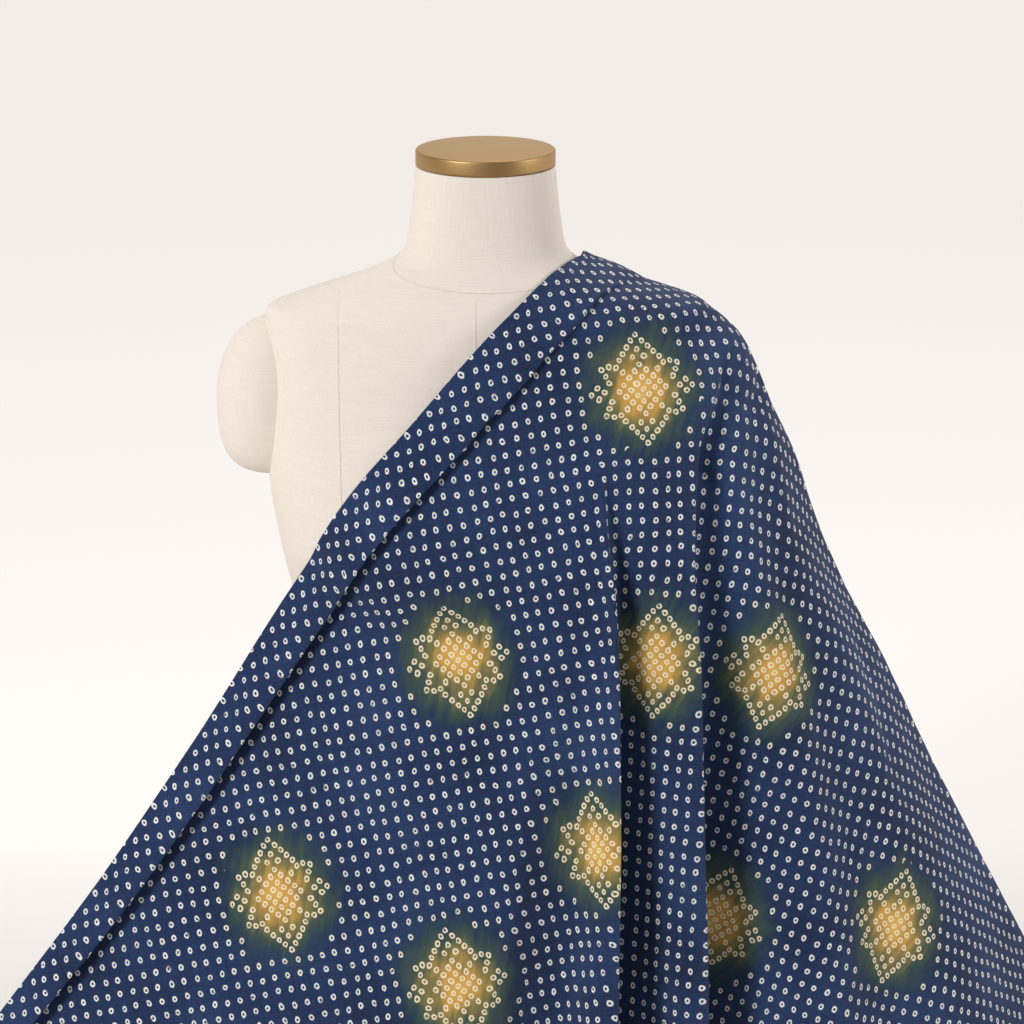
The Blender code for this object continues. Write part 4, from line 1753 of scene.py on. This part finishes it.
    def build(self) -> bpy.types.Object:
        """Builds the draped and printed cloth.

        Returns:
            The cloth, in place of its solid.
        """
        roots = np.arange(self.coarse_rows + 1) / self.coarse_rows
        coarse = Sheet.draped(roots, 1)
        self.settle(coarse, 6)
        flat = FlatCloth.unfolded(coarse, self.grain_turn)
        fine_roots = (np.arange(self.rows + 1) / self.rows) ** self.row_spread
        sheet = Sheet.draped(fine_roots, self.step_scale)
        self.settle(sheet, self.settle_passes)
        layout = flat.finer(coarse, sheet, roots, fine_roots)
        tree = BVHTree.FromPolygons(sheet.points.tolist(), sheet.faces.tolist())
        middles = self.medallions(sheet, layout, tree)
        self.crease(sheet, layout, tree)
        sheet.kept_clear(self.trees, self.clearance)
        cloth = self.solid(sheet, self.edge_thickness(sheet, layout))
        self.print_maps(cloth, sheet, layout, middles)
        cloth.data.materials.append(self.cotton)
        area = abs(flat.area(coarse.faces))
        LOG.info("flat cloth %s, %.3f square metres", flat.size(), area)
        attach(cloth, "root")
        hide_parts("cloth")
        stitches = self.build_stitches(sheet)
        flat.size()
        return cloth

    def solid(self, sheet: Sheet, thickness: np.ndarray) -> bpy.types.Object:
        """Gives the sheet its thickness.

        Args:
            sheet: The draped sheet.
            thickness: The thickness at each point.

        Returns:
            A closed mesh: the outer face, the inner face and the rim.
        """
        half = sheet.normals() * thickness[:, None] / 2
        count = len(sheet.points)
        faces = sheet.faces
        pairs = np.vstack([faces[:, [k, (k + 1) % 4]] for k in range(4)])
        known = {(int(a), int(b)) for a, b in pairs}
        rim = [(b, a, a + count, b + count) for a, b in known if (b, a) not in known]
        inner = faces[:, ::-1] + count
        points = np.vstack([sheet.points + half, sheet.points - half])
        every = faces.tolist() + inner.tolist() + sorted(rim)
        return mesh_object("printed_cloth", points, every, 80.0)

    def print_maps(
        self, cloth: bpy.types.Object, sheet: Sheet, flat: FlatCloth, middles: np.ndarray
    ) -> None:
        """Writes the two UV maps that the print reads.

        Args:
            cloth: The closed cloth.
            sheet: The sheet inside it.
            flat: The sheet's layout.
            middles: The medallions' middles on the flat cloth.
        """
        mesh = cloth.data
        numbers = np.empty(len(mesh.loops), int)
        mesh.loops.foreach_get("vertex_index", numbers)
        places = flat.places[numbers % len(sheet.points)]
        starts = np.empty(len(mesh.polygons), int)
        mesh.polygons.foreach_get("loop_start", starts)
        face_middle = sum(places[starts + k] for k in range(4)) / 4
        away = np.linalg.norm(face_middle[:, None] - middles[None], axis=2)
        chosen = np.repeat(middles[away.argmin(axis=1)], 4, axis=0)
        motif = places - chosen
        for name, values in (("flat", places), ("motif", motif)):
            layer = mesh.uv_layers.new(name=name)
            layer.data.foreach_set("uv", values.ravel())

    def build_stitches(self, sheet: Sheet) -> bpy.types.Object:
        """Sews the hem a little above the table, all round.

        Args:
            sheet: The draped sheet.

        Returns:
            The stitches as one mesh.
        """
        normals = sheet.normals()
        points: list[Vector] = []
        for panel, way in ((Panel.FRONT, 1), (Panel.BACK, -1)):
            grid = sheet.grids[panel][:, ::way]
            for column in grid.T[:: 2 if way == 1 else 2]:
                heights = sheet.points[column, 2]
                k = len(heights) - 1 - int(np.searchsorted(heights[::-1], self.hem_stitch_rise))
                low, high = heights[k + 1], heights[k]
                share = (self.hem_stitch_rise - low) / (high - low)
                place = sheet.points[column[k + 1]] * (1 - share) + sheet.points[column[k]] * share
                out = normals[column[k]] * self.thickness * 0.55
                points.append(Vector(place + out))
        edges = [(k, k + 1) for k in range(len(points) - 1)]
        radius, pitch = self.stitch_radius, self.stitch_pitch
        sewn = sewn_line("hem_stitches", points, edges, radius, pitch, self.thread)
        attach(sewn, "root")
        return sewn


# The studio


@dataclass
class Studio:
    """The camera at the photograph's place, soft lights from the front left, and a pale sweep."""

    paper: bpy.types.Material
    sweep_reach: float = 16.0
    # The wall stands farther off than any view's camera, so that none looks at its back.
    wall_foot: float = 5.2
    wall_radius: float = 1.2
    wall_height: float = 7.0
    world_strength: float = 0.24

    def build_camera(self) -> bpy.types.Object:
        """Places the camera.

        Returns:
            The camera.
        """
        lens = bpy.data.cameras.new("camera")
        lens.sensor_width = SENSOR_MM
        lens.lens = LENS_MM
        camera = bpy.data.objects.new("camera", lens)
        bpy.context.scene.collection.objects.link(camera)
        back = Vector((0.0, -math.cos(LOOKING_DOWN), math.sin(LOOKING_DOWN)))
        camera.location = AIM + back * AIM_DISTANCE
        camera.rotation_euler = (math.pi / 2 - LOOKING_DOWN, 0.0, 0.0)
        bpy.context.scene.camera = camera
        bpy.context.view_layer.update()
        return camera

    def build_lights(self) -> None:
        """Places a soft key light at the front left, a side light and a top light."""
        lights = (
            ("key", (-2.2, -2.4, 2.0), 1.0, 88.0),
            ("side", (3.0, -0.8, 1.4), 1.2, 38.0),
            ("top", (0.3, 0.9, 2.8), 1.6, 18.0),
        )
        for name, place, size, power in lights:
            lamp = bpy.data.lights.new(name, "AREA")
            lamp.size = size
            lamp.energy = power
            light = bpy.data.objects.new(name, lamp)
            bpy.context.scene.collection.objects.link(light)
            light.location = place
            towards = Vector((0.0, 0.0, 0.4)) - Vector(place)
            light.rotation_euler = towards.to_track_quat("-Z", "Y").to_euler()
        world = bpy.data.worlds.new("studio")
        world.use_nodes = True
        sky = world.node_tree.nodes["Background"]
        sky.inputs["Color"].default_value = linear("#FBF8F4")
        sky.inputs["Strength"].default_value = self.world_strength
        bpy.context.scene.world = world
        bpy.context.scene.view_settings.view_transform = "Standard"

    def build_sweep(self) -> bpy.types.Object:
        """Lays the paper sweep: a floor that curves up behind.

        Returns:
            The sweep.
        """
        profile = [(-self.sweep_reach, 0.0), (self.wall_foot, 0.0)]
        for step in range(1, 13):
            angle = math.radians(7.5 * step)
            profile.append(
                (
                    self.wall_foot + self.wall_radius * math.sin(angle),
                    self.wall_radius * (1 - math.cos(angle)),
                )
            )
        profile.append((self.wall_foot + self.wall_radius, self.wall_height))
        points = [(x, y, z) for y, z in profile for x in (-self.sweep_reach, self.sweep_reach)]
        faces = [(2 * k, 2 * k + 1, 2 * k + 3, 2 * k + 2) for k in range(len(profile) - 1)]
        sweep = mesh_object("sweep", points, faces)
        sweep.data.materials.append(self.paper)
        return sweep


def main() -> None:
    """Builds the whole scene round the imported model."""
    logging.basicConfig(level=logging.INFO, format="%(message)s")
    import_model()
    studio = Studio(StudioPaper().build())
    camera = studio.build_camera()
    studio.build_lights()
    studio.build_sweep()
    form_thread = CottonThread("linen_thread", "#ECE3D8", "#DDD2C6").build()
    form = DressForm(FormLinen().build(), form_thread, BrushedBrass().build())
    trees = form.trees()
    pieces = [form.build_body(), *form.build_arms(), form.build_cap(), form.build_seams(trees)]
    hem_thread = CottonThread("indigo_thread", "#3A4C78", "#1B2748").build()
    cloth = DrapedCloth(TieDyedCotton().build(), hem_thread, camera, trees)
    pieces.append(cloth.build())
    for piece in pieces:
        LOG.info("%s: %d faces", piece.name, len(piece.data.polygons))


if __name__ == "__main__":
    main()
